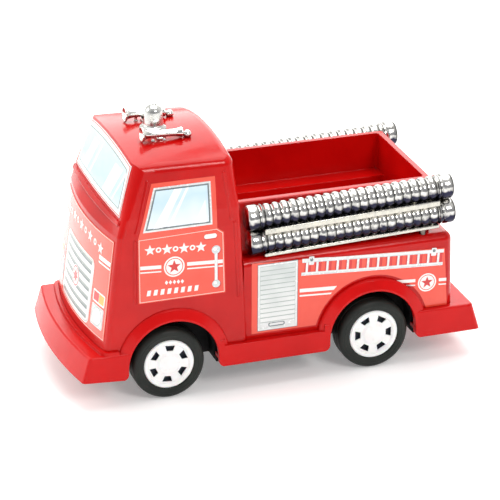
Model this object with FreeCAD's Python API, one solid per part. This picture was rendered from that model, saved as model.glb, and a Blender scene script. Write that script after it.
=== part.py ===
import FreeCAD, Part
import math
import os

V = FreeCAD.Vector
X_AXIS = V(1, 0, 0)
Y_AXIS = V(0, 1, 0)
Z_AXIS = V(0, 0, 1)

# Toy fire engine. +Z is up, the front faces -Y and the driver's side is +X.
# The origin is under the middle of the model, on the surface the tyres stand on. Millimetres.

# Running gear
AXLE_Z = 11.0
FRONT_AXLE_Y = -34.2
REAR_AXLE_Y = 29.8
AXLE_R = 1.0
AXLE_HALF_LENGTH = 23.6
RUNNING_GAP = 0.06
TYRE_R = 11.0
TYRE_SHOULDER = 1.5
TYRE_INNER_X = 18.8
TYRE_OUTER_X = 26.5
HUB_R = 7.6
HUB_INNER_X = 18.6
HUB_FACE_X = 26.2
HUB_WINDOWS = 6
WINDSHIELD_MARGIN = 0.7

# Cab: (height, half width at the corner, corner y, back y, front corner radius, back corner radius,
# radius of the bowed front)
CAB_LEVELS = [
    (11.8, 26.15, -54.0, -9.9, 1.8, 1.2, 112.0),
    (52.4, 25.60, -48.6, -11.9, 1.8, 1.2, 112.0),
    (57.6, 25.10, -47.4, -12.1, 2.0, 1.4, 400.0),
    (79.0, 21.45, -40.85, -13.4, 4.8, 4.6, 200.0),
]
ROOF_CROWN_Z = 74.7
ROOF_EDGE_DROP = 2.7
ROOF_EDGE_X = 22.8
ROOF_DROP_GROWTH = 0.042
ROOF_PITCH_DEG = 1.5
ROOF_ROUND = 2.9
BROW_Y = -37.0
BROW_SPARE = 0.04
WALL = 1.5

# Rear body and hose bed
BODY_BOTTOM_Z = 11.8
BODY_HALF_WIDTH = 25.25
BODY_SHOULDER_Z = 40.2
BODY_REAR_Y = 55.0
BODY_REAR_LEAN = 0.8
SHOULDER_ROUND = 2.4
BED_HALF_WIDTH = 20.4
BED_REAR_Y = 49.4
BED_TOP_Z = 56.8
BED_WALL = 1.9
BED_LEDGE_Z = 45.2
BED_LEDGE_WIDTH = 6.1
BED_FLOOR_Z = 38.5

# Skirt: bumper, fenders, running boards and rear step in one moulding
SKIRT_BOTTOM_Z = 8.4
SKIRT_TOP_Z = 16.9
BOARD_TOP_Z = 14.9
SKIRT_HALF_WIDTH = 27.5
SKIRT_HALF_LENGTH = 63.9
SKIRT_SETBACK = 2.6
SKIRT_BOW_R = 130.0
BUMPER_RISE = 1.2
FENDERS = [(-33.0, 11.3, 13.8, 17.4), (29.2, 11.9, 13.7, 17.3)]
FENDER_STEP_X = 26.5
OPENING_FLARE = 1.8
LIP_Z = (10.6, 11.8)
LIP_WIDTH = 2.4
SEAT_GAP = 0.05

# Base plate
PLATE_Z = (9.0, 10.6)
PLATE_HALF_WIDTH = 24.9
PLATE_WAIST = 17.6
PLATE_Y = (-54.2, 54.6)
PLATE_CORNER_R = 2.5
CHEEK_THICK = 1.4
CHEEK_TOP_Z = 26.2
CHEEK_HALF_LENGTH = 14.6
WHEEL_HOUSE_X = 22.7
WHEEL_HOUSE_R = 14.6
WHEEL_HOUSE_WALL = 0.9
POCKET_HALF_LENGTH = 13.7

# Screws that hold the base plate
SCREW_POINTS = [(0.0, -48.0), (-13.0, 49.0), (13.0, 49.0)]
SCREW_R = 1.1
SCREW_LENGTH = 8.0
SCREW_HEAD_R = 2.3
SCREW_HEAD_THICK = 0.9
SCREW_SINK = 0.8
BOSS_R = 3.0

# Printed foils
FOIL = 0.15

# Hose racks
RACK_FRONT_Y = -9.6
RACK_LENGTH = 64.8
RACK_MIDDLE_Z = 48.45
RACK_TILT_DEG = 2.0
HOSE_SPACING = 7.9
HOSE_X = 22.4
HOSE_CREST_R = 3.65
HOSE_VALLEY_R = 2.9
HOSE_RIBS = 20
COUPLING_R = 3.85
COUPLING_LENGTH = 5.2

# Roof unit
ROOF_UNIT_Y = -30.5
ROOF_UNIT_Z = 74.5
ROOF_UNIT_PITCH_DEG = 2.5
BEACON_R = 3.0
BEACON_BASE_R = 4.1
BEACON_TOP = 8.1
HORN_X = 8.6
HORN_Z = 1.8
HORN_MOUTH_R = 2.3
HORN_TUBE_R = 0.65

# Pull-back motor
MODULE = 0.5
TOOTH_TIP = 0.8
TOOTH_ROOT = 1.05
TOOTH_SLACK = 0.2
PRESSURE_ANGLE = math.radians(20)
AXLE_TEETH = 10
WHEEL_TEETH = 30
PINION_TEETH = 10
DRUM_TEETH = 32
COMPOUND_DIRECTION = math.radians(115)
DRUM_DIRECTION = math.radians(10)
AXLE_GEAR_X = (-5.6, -2.4)
WHEEL_X = (-5.2, -2.8)
PINION_X = (-2.8, 1.0)
DRUM_X = (-1.8, 0.8)
SPRING_X = (1.4, 5.4)
SPRING_R = (1.55, 6.2)
SPRING_TURNS = 7
SPRING_THICK = 0.22
MOTOR_HALF_WIDTH = 8.0
MOTOR_WALL = 1.0
MOTOR_Y = (16.0, 46.0)
MOTOR_Z = (6.9, 31.8)
MOTOR_POSTS = [(18.4, 10.0), (43.5, 10.2), (18.4, 29.6)]
MOTOR_POST_R = 1.7
MOTOR_FEET_Y = (20.5, 40.5)
MOTOR_FOOT_X = 10.0
MOTOR_FOOT_THICK = 1.4
MOTOR_SCREW_R = 0.75
MOTOR_SCREW_HEAD_R = 1.35
MOTOR_SCREW_HEAD = 0.8
PIN_R = 0.9
ARBOR_R = 1.4

# Locating pegs of the chrome mouldings
RACK_PEGS_Y = (6.0, 46.0)
RACK_PEG_X = 22.6
RACK_PEG_R = 1.0
ROOF_PEG_R = 1.6


def box(x, y, z):
    """A block between pairs of limits."""
    return Part.makeBox(x[1] - x[0], y[1] - y[0], z[1] - z[0], V(x[0], y[0], z[0]))


def rod(radius, start, along):
    """A cylinder from a start point along a vector."""
    return Part.makeCylinder(radius, along.Length, start, along)


def polygon_prism(points, along):
    """A closed polygon swept along a vector."""
    wire = Part.makePolygon(points + [points[0]])
    return Part.Face(wire).extrude(along)


def turned(profile, centre, axis):
    """A closed (distance along axis, radius) profile turned about an axis through centre."""
    side = X_AXIS if axis.z else Z_AXIS
    points = [centre + axis * a + side * r for a, r in profile]
    face = Part.Face(Part.makePolygon(points + [points[0]]))
    return face.revolve(centre, axis, 360)


def mirrored(shape):
    """The same piece on the other side of the model."""
    return shape.mirror(V(0, 0, 0), X_AXIS)


def joined(shapes):
    """One solid from several that touch."""
    result = shapes[0]
    for shape in shapes[1:]:
        result = result.fuse(shape)
    return result.removeSplitter()


def edges_where(shape, test):
    """The edges whose middle point passes a test."""
    chosen = []
    for edge in shape.Edges:
        first, last = edge.ParameterRange
        if test(edge.valueAt((first + last) / 2)):
            chosen.append(edge)
    return chosen


# ---------------------------------------------------------------- cab and body casting

def bowed_outline(z, half_width, corner_y, back_y, corner_r, back_r, bow_r):
    """A plan outline with a bowed front and four tangent corners, as one wire."""
    centre_y = corner_y + math.sqrt(bow_r ** 2 - half_width ** 2)
    inner_r = bow_r - corner_r
    round_x = half_width - corner_r
    round_y = centre_y - math.sqrt(inner_r ** 2 - round_x ** 2)
    touch = V(round_x, round_y - centre_y, 0) * (bow_r / inner_r) + V(0, centre_y, z)
    middle_angle = math.atan2(round_y - centre_y, round_x) / 2
    front_mid = V(round_x + corner_r * math.cos(middle_angle),
                  round_y + corner_r * math.sin(middle_angle), z)
    side_start = V(half_width, round_y, z)
    side_end = V(half_width, back_y - back_r, z)
    back_mid = V(half_width - back_r * (1 - math.sqrt(0.5)),
                 back_y - back_r * (1 - math.sqrt(0.5)), z)
    back_start = V(half_width - back_r, back_y, z)

    def flip(point):
        return V(-point.x, point.y, point.z)

    edges = [
        Part.Arc(flip(touch), V(0, centre_y - bow_r, z), touch).toShape(),
        Part.Arc(touch, front_mid, side_start).toShape(),
        Part.LineSegment(side_start, side_end).toShape(),
        Part.Arc(side_end, back_mid, back_start).toShape(),
        Part.LineSegment(back_start, flip(back_start)).toShape(),
        Part.Arc(flip(back_start), flip(back_mid), flip(side_end)).toShape(),
        Part.LineSegment(flip(side_end), flip(side_start)).toShape(),
        Part.Arc(flip(side_start), flip(front_mid), flip(touch)).toShape(),
    ]
    return Part.Wire(edges)


def cab_block(grow):
    """The cab's outer form, offset outwards by grow, with its sides run past the roof."""
    wires = []
    for z, half_width, corner_y, back_y, corner_r, back_r, bow_r in CAB_LEVELS:
        level = z + (min(grow, 0) if z == CAB_LEVELS[0][0] else 0)
        wires.append(bowed_outline(level, half_width + grow, corner_y - grow, back_y + grow,
                                   corner_r + max(grow, -1), back_r + max(grow, -1), bow_r))
    return Part.makeLoft(wires, True, True)


def crown_wire(y, grow, low_x, high_x, low_z):
    """The crowned prism's section at one place along the roof. The crown grows towards the back."""
    drop = ROOF_EDGE_DROP + ROOF_DROP_GROWTH * (y - ROOF_UNIT_Y)
    radius = (ROOF_EDGE_X ** 2 + drop ** 2) / (2 * drop)
    top = ROOF_CROWN_Z - ROOF_EDGE_DROP + drop + grow
    edge = top - radius + math.sqrt(radius ** 2 - high_x ** 2)
    left = V(-high_x, y, edge)
    right = V(high_x, y, edge)
    low = [V(low_x, y, low_z), V(-low_x, y, low_z)]
    return Part.Wire([
        Part.Arc(left, V(0, y, top), right).toShape(),
        Part.LineSegment(right, low[0]).toShape(),
        Part.LineSegment(low[0], low[1]).toShape(),
        Part.LineSegment(low[1], left).toShape(),
    ])


def crowned_prism(grow, low_x, high_x, low_z, side_round=0):
    """A prism under the crowned roof surface, offset upwards by grow, with leaning sides."""
    ends = [crown_wire(y, grow, low_x, high_x, low_z) for y in (-66.0, 6.0)]
    solid = Part.makeLoft(ends, True, True)
    if side_round:
        shoulders = edges_where(solid, lambda p: abs(p.x) > high_x - 0.1 and abs(p.y + 30) < 1)
        solid = solid.makeFillet(side_round, shoulders)
    solid.rotate(V(0, ROOF_UNIT_Y, ROOF_CROWN_Z), X_AXIS, -ROOF_PITCH_DEG)
    return solid


def under_roof(grow):
    """Everything below the crowned roof surface, offset upwards by grow."""
    return crowned_prism(grow, 30.0, 30.0, 0.0)


def cab_outer():
    """The cab with its roof edge rounded, but for a crisp brow over the windshield."""
    cab = cab_block(0).common(under_roof(0))
    roof = max(cab.Faces, key=lambda face: face.CenterOfMass.z)
    low_z = CAB_LEVELS[2][0]
    high_x = cab_side_x(ROOF_CROWN_Z - ROOF_EDGE_DROP) + BROW_SPARE
    brow = crowned_prism(0, cab_side_x(low_z) + BROW_SPARE, high_x, low_z, ROOF_ROUND)
    brow = brow.common(cab).common(box((-40, 40), (-70, BROW_Y), (low_z + 4, 90)))
    return cab.makeFillet(ROOF_ROUND, roof.Edges).fuse(brow)


def rear_block(grow):
    """The rear body below the hose bed, with its shoulder rounded."""
    half = BODY_HALF_WIDTH + grow
    rear = BODY_REAR_Y + grow
    top = BODY_SHOULDER_Z + grow
    side = [V(-half, -11.0, BODY_BOTTOM_Z), V(-half, rear + BODY_REAR_LEAN, BODY_BOTTOM_Z),
            V(-half, rear, top), V(-half, -11.0, top)]
    block = polygon_prism(side, V(2 * half, 0, 0))
    corners = edges_where(block, lambda p: p.y > rear - 1 and abs(p.x) > half - 0.1)
    block = block.makeFillet(SHOULDER_ROUND + 0.4, corners)
    rim = edges_where(block, lambda p: p.z > top - 0.1 and p.y > -10.9)
    return block.makeFillet(SHOULDER_ROUND, rim)


def bed_block():
    """The upright box of the hose bed."""
    block = box((-BED_HALF_WIDTH, BED_HALF_WIDTH), (-12.0, BED_REAR_Y), (BODY_SHOULDER_Z - 2, BED_TOP_Z))
    corners = edges_where(block, lambda p: p.y > BED_REAR_Y - 0.1 and abs(p.x) > BED_HALF_WIDTH - 0.1)
    block = block.makeFillet(1.2, corners)
    rim = edges_where(block, lambda p: p.z > BED_TOP_Z - 0.1 and p.y > -11.9)
    return block.makeFillet(0.4, rim)


def bed_hollow(cab):
    """The open inside of the hose bed: the upper part and the well between its ledges."""
    inside = BED_HALF_WIDTH - BED_WALL
    rear = BED_REAR_Y - BED_WALL
    upper = box((-inside, inside), (-20.0, rear), (BED_LEDGE_Z, BED_TOP_Z + 5))
    well_half = inside - BED_LEDGE_WIDTH
    well = box((-well_half, well_half), (-20.0, rear), (BED_FLOOR_Z, BED_LEDGE_Z + 1))
    hollow = upper.fuse(well).removeSplitter()
    rounds = edges_where(hollow, lambda p: abs(p.y - rear) < 0.01 and abs(p.x) > well_half - 0.1
                         and abs(p.z - BED_LEDGE_Z) > 0.5)
    hollow = hollow.makeFillet(1.0, rounds)
    return hollow.cut(cab)


def casting_hollow():
    """The inside of the casting, open at the bottom."""
    low = BODY_BOTTOM_Z - 1
    cab_room = cab_block(-WALL).common(under_roof(-WALL))
    half = BODY_HALF_WIDTH - WALL
    floor_under = BED_FLOOR_Z - WALL
    rear_room = box((-half, half), (-13.0, BODY_REAR_Y - WALL), (low, floor_under))
    inside = BED_HALF_WIDTH - WALL
    step_in = BED_HALF_WIDTH - BED_WALL - BED_LEDGE_WIDTH + WALL
    under_ledge = box((step_in, inside), (-9.0, BED_REAR_Y - WALL), (floor_under - 1, BED_LEDGE_Z - WALL))
    rooms = [cab_room, rear_room, under_ledge, mirrored(under_ledge)]
    return joined(rooms)


def screw_bosses():
    """Posts that the base plate's screws go into, each webbed to the nearest wall."""
    bottom = PLATE_Z[1]
    posts = []
    for x, y in SCREW_POINTS:
        top = BED_FLOOR_Z - 1.0
        wall_y = -53.0 if y < 0 else BODY_REAR_Y - 1.0
        web = box((x - 0.8, x + 0.8), tuple(sorted((y, wall_y))), (BODY_BOTTOM_Z + 2, top))
        post = rod(BOSS_R, V(x, y, bottom), V(0, 0, top - bottom))
        bore = rod(SCREW_R, V(x, y, bottom - 1), V(0, 0, 9))
        posts.append(post.fuse(web).cut(bore))
    return posts


def windshield_sill():
    """The narrow lip under the windshield."""
    lip = cab_block(0.5).common(front_region(55.7, 57.0, 23.6, 23.4, -40))
    return lip.cut(cab_block(-0.2))


def peg_holes():
    """Holes for the pegs of the hose racks and the roof unit."""
    holes = [rod(ROOF_PEG_R, V(0, ROOF_UNIT_Y, 70), V(0, 0, 10))]
    for y in RACK_PEGS_Y:
        for side in (-1, 1):
            holes.append(rod(RACK_PEG_R, V(side * RACK_PEG_X, y, BED_FLOOR_Z - WALL - 1), V(0, 0, 6)))
    return holes


def make_body_casting():
    """Cab, rear body and hose bed, die-cast in one piece."""
    cab = cab_outer()
    body = joined([cab, rear_block(0), bed_block(), windshield_sill()])
    body = body.cut(bed_hollow(cab))
    body = body.cut(casting_hollow())
    body = body.cut(peg_holes())
    panel = box((-15.0, 15.0), (BODY_REAR_Y - 0.35, BODY_REAR_Y + 5), (20.5, 36.0))
    body = body.cut(panel)
    for y, z, opening_r, outer_r in FENDERS:
        clearance = rod(opening_r + 1.6, V(-40, y, z), V(80, 0, 0))
        keep = box((-40, 40), (y - 20, y + 20), (BODY_BOTTOM_Z - 5, z + 16.5))
        body = body.cut(clearance.common(keep))
    body = joined([body] + screw_bosses())
    return body.fuse(cab_ribs()).removeSplitter()


def cab_ribs():
    """Raised beads beside the doors and on the front corners."""
    beads = []
    for y_low, z_low, y_high, z_high in [(-44.3, 32.0, -44.0, 51.0), (-43.6, 53.6, -39.4, 68.0),
                                         (-15.0, 54.5, -16.6, 68.0), (-12.9, 30.0, -13.9, 53.0)]:
        start = V(cab_side_x(z_low) - 0.15, y_low, z_low)
        end = V(cab_side_x(z_high) - 0.15, y_high, z_high)
        beads.append(bead(start, end, 0.5))
    beads += [mirrored(b) for b in beads]
    return beads[0].multiFuse(beads[1:])


def cab_side_x(z):
    """How far out the cab's side is at a height."""
    for low, high in zip(CAB_LEVELS, CAB_LEVELS[1:]):
        if z <= high[0]:
            share = (z - low[0]) / (high[0] - low[0])
            return low[1] + share * (high[1] - low[1])
    return CAB_LEVELS[-1][1]


def bead(start, end, radius):
    """A round-ended rod between two points."""
    stick = rod(radius, start, end - start)
    return stick.fuse([Part.makeSphere(radius, start), Part.makeSphere(radius, end)])


# ---------------------------------------------------------------- skirt and base plate

def skirt_outline(z, share):
    """The skirt's plan at its bottom (share 0) or top (share 1)."""
    reach = SKIRT_HALF_LENGTH - SKIRT_SETBACK * share
    half_width = SKIRT_HALF_WIDTH - 0.2 * share
    corner_y = SKIRT_BOW_R - math.sqrt(SKIRT_BOW_R ** 2 - half_width ** 2) - reach
    return bowed_outline(z, half_width, corner_y, reach, 1.0, 1.4, SKIRT_BOW_R)


def wheel_opening(y, z, radius):
    """The side opening over a wheel, with rounded feet, right through the model."""
    low = SKIRT_BOTTOM_Z
    flare = OPENING_FLARE
    turn = flare * (1 - math.sqrt(0.5))
    x = -40.0
    left = V(x, y - radius, z)
    right = V(x, y + radius, z)
    left_foot = V(x, y - radius - flare, low)
    right_foot = V(x, y + radius + flare, low)
    wire = Part.Wire([
        Part.Arc(left, V(x, y, z + radius), right).toShape(),
        Part.LineSegment(right, V(x, y + radius, low + flare)).toShape(),
        Part.Arc(V(x, y + radius, low + flare), V(x, y + radius + turn, low + turn), right_foot).toShape(),
        Part.LineSegment(right_foot, V(x, right_foot.y, low - 5)).toShape(),
        Part.LineSegment(V(x, right_foot.y, low - 5), V(x, left_foot.y, low - 5)).toShape(),
        Part.LineSegment(V(x, left_foot.y, low - 5), left_foot).toShape(),
        Part.Arc(left_foot, V(x, y - radius - turn, low + turn), V(x, y - radius, low + flare)).toShape(),
        Part.LineSegment(V(x, y - radius, low + flare), left).toShape(),
    ])
    return Part.Face(wire).extrude(V(80, 0, 0))


def fender_band(y, z, opening_r, outer_r):
    """A disc with a bevelled rim; the opening is cut out of it later."""
    half = SKIRT_HALF_WIDTH - 0.1
    step = FENDER_STEP_X
    profile = [(-half, 0), (-half, opening_r + 0.6), (-step, outer_r - 0.4), (-step + 0.4, outer_r),
               (step - 0.4, outer_r), (step, outer_r - 0.4), (half, opening_r + 0.6), (half, 0)]
    band = turned(profile, V(0, y, z), X_AXIS)
    return band.common(box((-40, 40), (y - 25, y + 25), (SKIRT_BOTTOM_Z + 1, 60)))


def body_space(grow):
    """The casting's outside below the windows, offset by grow, for cutting the skirt to it."""
    return cab_block(grow).fuse(rear_block_plain(grow))


def rear_block_plain(grow):
    """The rear body without its rounded shoulder."""
    half = BODY_HALF_WIDTH + grow
    rear = BODY_REAR_Y + grow
    side = [V(-half, -11.0, BODY_BOTTOM_Z), V(-half, rear + BODY_REAR_LEAN, BODY_BOTTOM_Z),
            V(-half, rear, BODY_SHOULDER_Z), V(-half, -11.0, BODY_SHOULDER_Z)]
    block = polygon_prism(side, V(2 * half, 0, 0))
    corners = edges_where(block, lambda p: p.y > rear - 1 and abs(p.x) > half - 0.1)
    return block.makeFillet(SHOULDER_ROUND + 0.4 + grow, corners)


def plan_prism(grow, z_range):
    """The casting's bottom outline, offset by grow, as an upright prism."""
    _, half_width, corner_y, back_y, corner_r, back_r, bow_r = CAB_LEVELS[0]
    cab = bowed_outline(z_range[0], half_width + grow, corner_y - grow, back_y + grow,
                        corner_r + max(grow, -1), back_r + max(grow, -1), bow_r)
    height = V(0, 0, z_range[1] - z_range[0])
    half = BODY_HALF_WIDTH + grow
    rear = box((-half, half), (-11.0, BODY_REAR_Y + BODY_REAR_LEAN + grow), z_range)
    return Part.Face(cab).extrude(height).fuse(rear).removeSplitter()


def make_fender_skirt():
    """Bumper, four fenders, running boards and rear step."""
    skirt = Part.makeLoft([skirt_outline(SKIRT_BOTTOM_Z, 0), skirt_outline(SKIRT_TOP_Z, 1)], True, True)
    top_rim = edges_where(skirt, lambda p: p.z > SKIRT_TOP_Z - 0.01)
    skirt = skirt.makeFillet(0.6, top_rim)
    front, rear = FENDERS
    boards = box((-40, 40), (front[0] + 15.5, rear[0] - 15.5), (BOARD_TOP_Z, SKIRT_TOP_Z + 1))
    skirt = skirt.cut(boards)
    collar = cab_block(1.1).common(box((-40, 40), (-70, -49.5), (BODY_BOTTOM_Z, SKIRT_TOP_Z + 0.9)))
    skirt = joined([skirt, collar] + [fender_band(*fender) for fender in FENDERS])
    for y, z, opening_r, outer_r in FENDERS:
        skirt = skirt.cut(wheel_opening(y, z, opening_r))
    skirt = skirt.cut(body_space(SEAT_GAP))
    skirt = skirt.cut(plan_prism(-LIP_WIDTH, (LIP_Z[0] - 1, LIP_Z[1] + 1)))
    skirt = skirt.cut(plan_prism(SEAT_GAP, (SKIRT_BOTTOM_Z - 1, LIP_Z[0])))
    return skirt.cut(under_bumper())


def under_bumper():
    """A wedge that raises the bumper's lower edge towards the front."""
    start, end = FENDERS[0][0] - FENDERS[0][2], -SKIRT_HALF_LENGTH - 1
    side = [V(-40, start, SKIRT_BOTTOM_Z), V(-40, end, SKIRT_BOTTOM_Z + BUMPER_RISE),
            V(-40, end, SKIRT_BOTTOM_Z - 1), V(-40, start, SKIRT_BOTTOM_Z - 1)]
    return polygon_prism(side, V(80, 0, 0))


def wheel_house(y, z):
    """A black hood behind one wheel opening, open below and outwards, for the +X side."""
    outer = rod(WHEEL_HOUSE_R, V(PLATE_WAIST, y, z), V(WHEEL_HOUSE_X - PLATE_WAIST, 0, 0))
    inner = rod(WHEEL_HOUSE_R - WHEEL_HOUSE_WALL, V(PLATE_WAIST, y, z), V(20, 0, 0))
    return outer.cut(inner).common(box((0, 40), (y - 20, y + 20), (PLATE_Z[1] - 0.5, 40)))


def axle_cheek(y):
    """An upright wall that carries an axle, for the +X side."""
    return box((PLATE_WAIST - CHEEK_THICK, PLATE_WAIST), (y - CHEEK_HALF_LENGTH, y + CHEEK_HALF_LENGTH),
               (PLATE_Z[0], CHEEK_TOP_Z))


def foot_points():
    """Where the motor's feet are screwed down."""
    return [(x, y) for y in MOTOR_FEET_Y for x in (-MOTOR_FOOT_X, MOTOR_FOOT_X)]


def plate_holes():
    """Everything that is cut out of the base plate."""
    inner = PLATE_WAIST - CHEEK_THICK
    holes = [motor_outline(0.3)]
    for axle_y in (FRONT_AXLE_Y, REAR_AXLE_Y):
        holes.append(rod(AXLE_R + RUNNING_GAP, V(-40, axle_y, AXLE_Z), V(80, 0, 0)))
        holes.append(box((-inner, inner), (axle_y - 1.5, axle_y + 1.5), (PLATE_Z[0] + 0.6, PLATE_Z[1] + 1)))
    for x, y in foot_points():
        holes.append(rod(MOTOR_SCREW_R + 0.05, V(x, y, 0), V(0, 0, 20)))
    for x, y in SCREW_POINTS:
        holes.append(rod(SCREW_R + 0.2, V(x, y, 0), V(0, 0, 20)))
        holes.append(rod(SCREW_HEAD_R + 0.2, V(x, y, 0), V(0, 0, PLATE_Z[0] + SCREW_SINK)))
    return holes


def make_base_plate():
    """The black floor with a pair of cheeks and wheel houses for each axle."""
    plate = box((-PLATE_HALF_WIDTH, PLATE_HALF_WIDTH), PLATE_Y, PLATE_Z)
    corners = edges_where(plate, lambda p: abs(abs(p.x) - PLATE_HALF_WIDTH) < 0.01
                          and min(abs(p.y - PLATE_Y[0]), abs(p.y - PLATE_Y[1])) < 0.01)
    plate = plate.makeFillet(PLATE_CORNER_R, corners)
    for y, z, opening_r, outer_r in FENDERS:
        pocket = box((PLATE_WAIST, 40), (y - POCKET_HALF_LENGTH, y + POCKET_HALF_LENGTH), (0, 30))
        plate = plate.cut([pocket, mirrored(pocket)])
        uprights = [axle_cheek(y), wheel_house(y, z)]
        plate = plate.fuse(uprights + [mirrored(upright) for upright in uprights])
    return plate.cut(plate_holes()).removeSplitter()


def make_base_screws():
    """Three self-tapping screws, as separate solids."""
    screws = []
    head_z = PLATE_Z[0] + SCREW_SINK
    for x, y in SCREW_POINTS:
        head = rod(SCREW_HEAD_R, V(x, y, head_z - SCREW_HEAD_THICK), V(0, 0, SCREW_HEAD_THICK))
        shank = rod(SCREW_R - 0.05, V(x, y, head_z), V(0, 0, SCREW_LENGTH))
        cross = [box((x - 1.4, x + 1.4), (y - 0.25, y + 0.25), (0, head_z - 0.5)),
                 box((x - 0.25, x + 0.25), (y - 1.4, y + 1.4), (0, head_z - 0.5))]
        screws.append(head.fuse(shank).removeSplitter().cut(cross))
    return Part.makeCompound(screws)


# ---------------------------------------------------------------- wheels

def make_tyre(axle_y):
    """A plain tyre with a rounded shoulder, for the +X side."""
    inner, outer, s = TYRE_INNER_X, TYRE_OUTER_X, TYRE_SHOULDER
    bore = HUB_R + 0.03
    profile = [(inner + 0.5, bore), (inner, bore + 0.6), (inner, TYRE_R - s),
               (inner + 0.4 * s, TYRE_R - 0.35 * s), (inner + s, TYRE_R), (outer - s, TYRE_R),
               (outer - 0.4 * s, TYRE_R - 0.35 * s), (outer, TYRE_R - s), (outer, bore + 0.9),
               (outer - 0.5, bore)]
    return turned(profile, V(0, axle_y, AXLE_Z), X_AXIS)


def make_hub(axle_y, turn):
    """A white wheel centre with six tapered windows, turned by some degrees, for the +X side."""
    face = HUB_FACE_X
    web = HUB_INNER_X + 2.5
    profile = [(HUB_INNER_X, AXLE_R), (HUB_INNER_X, 3.0), (web, 3.4), (web, HUB_R), (face - 0.3, HUB_R),
               (face, HUB_R - 0.3), (face, 6.5), (face - 0.5, 6.0), (face - 0.5, 3.7), (face, 2.9),
               (face + 0.2, 1.2), (face + 0.2, 0), (AXLE_HALF_LENGTH, 0), (AXLE_HALF_LENGTH, AXLE_R)]
    hub = turned(profile, V(0, axle_y, AXLE_Z), X_AXIS)
    for index in range(HUB_WINDOWS):
        corners = [V(face - 2.0, y, z) for y, z in [(-0.95, 4.0), (0.95, 4.0), (1.55, 5.75), (-1.55, 5.75)]]
        window = polygon_prism(corners, V(3, 0, 0))
        window.rotate(V(0, 0, 0), X_AXIS, 360.0 / HUB_WINDOWS * index + turn)
        window.translate(V(0, axle_y, AXLE_Z))
        hub = hub.cut(window)
    return hub


def make_axle(axle_y):
    """A plain steel pin."""
    pin = rod(AXLE_R, V(-AXLE_HALF_LENGTH, axle_y, AXLE_Z), V(2 * AXLE_HALF_LENGTH, 0, 0))
    ends = edges_where(pin, lambda p: abs(abs(p.x) - AXLE_HALF_LENGTH) < 0.01)
    return pin.makeChamfer(0.2, ends)


# ---------------------------------------------------------------- printed foils

def foil_on_cab(region):
    """A thin foil on the cab's outside, inside a region."""
    return cab_block(FOIL).cut(cab_block(0)).common(region)


def front_region(z_low, z_high, half_low, half_high, y_limit):
    """A tapered window seen from the front."""
    points = [V(-half_low, -80, z_low), V(half_low, -80, z_low),
              V(half_high, -80, z_high), V(-half_high, -80, z_high)]
    return polygon_prism(points, V(0, 80 + y_limit, 0))


def make_windshield_foil():
    """The windshield, whose top edge follows the roof."""
    return foil_on_cab(front_region(57.8, 76.0, 22.4, 19.6, -38)).common(under_roof(-WINDSHIELD_MARGIN))


def make_front_foil():
    return foil_on_cab(front_region(20.4, 50.9, 24.1, 23.3, -44))


def make_door_foil():
    """Door panel and window surround in one foil, for the +X side."""
    outline = [(-43.2, 31.6), (-16.9, 31.6), (-17.3, 50.7), (-19.3, 52.2), (-19.3, 67.4),
               (-38.3, 67.4), (-43.1, 51.6)]
    points = [V(10, y, z) for y, z in outline]
    return foil_on_cab(polygon_prism(points, V(30, 0, 0)))


def make_side_foil():
    """The rear body's printed panel, cut round the fender, for the +X side."""
    x = BODY_HALF_WIDTH
    step_y = FENDERS[1][0]
    outline = [(-8.6, 39.2), (52.2, 35.8), (53.5, 17.0), (step_y, 17.0), (step_y, 16.5), (-8.6, 16.5)]
    foil = polygon_prism([V(x, y, z) for y, z in outline], V(FOIL, 0, 0))
    y, z, opening_r, outer_r = FENDERS[1]
    return foil.cut(rod(outer_r + 0.9, V(0, y, z), V(40, 0, 0)))


# ---------------------------------------------------------------- chrome mouldings

def ribbed_hose(length, z):
    """A corrugated hose with a coupling at each end, along +Y from the origin."""
    grip = COUPLING_LENGTH
    pitch = (length - 2 * grip) / HOSE_RIBS
    points = [V(0, 0, 0), V(0, 0, COUPLING_R - 0.7), V(0, 0.7, COUPLING_R), V(0, grip - 1.6, COUPLING_R),
              V(0, grip - 1.4, COUPLING_R - 0.35), V(0, grip - 0.9, COUPLING_R - 0.35),
              V(0, grip - 0.7, COUPLING_R), V(0, grip - 0.1, COUPLING_R), V(0, grip, HOSE_VALLEY_R)]
    edges = [Part.LineSegment(a, b).toShape() for a, b in zip(points, points[1:])]
    for index in range(HOSE_RIBS):
        start = grip + pitch * index
        edges.append(Part.Arc(V(0, start, HOSE_VALLEY_R), V(0, start + pitch / 2, HOSE_CREST_R),
                              V(0, start + pitch, HOSE_VALLEY_R)).toShape())
    tail = [V(0, length - p.y, p.z) for p in reversed(points)] + [V(0, 0, 0)]
    edges += [Part.LineSegment(a, b).toShape() for a, b in zip(tail, tail[1:])]
    hose = Part.Face(Part.Wire(edges)).revolve(V(0, 0, 0), Y_AXIS, 360)
    hose.translate(V(HOSE_X, 0, z))
    return hose


def flat_bar(z_low, z_high, reach, length):
    """A bar along a rack with a rounded outer edge."""
    back = BED_HALF_WIDTH
    start = COUPLING_LENGTH + 0.2
    bar = box((back, reach), (start, length - start), (z_low, z_high))
    return bar.makeFillet(0.45 * (z_high - z_low), edges_where(bar, lambda p: abs(p.x - reach) < 0.01))


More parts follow.
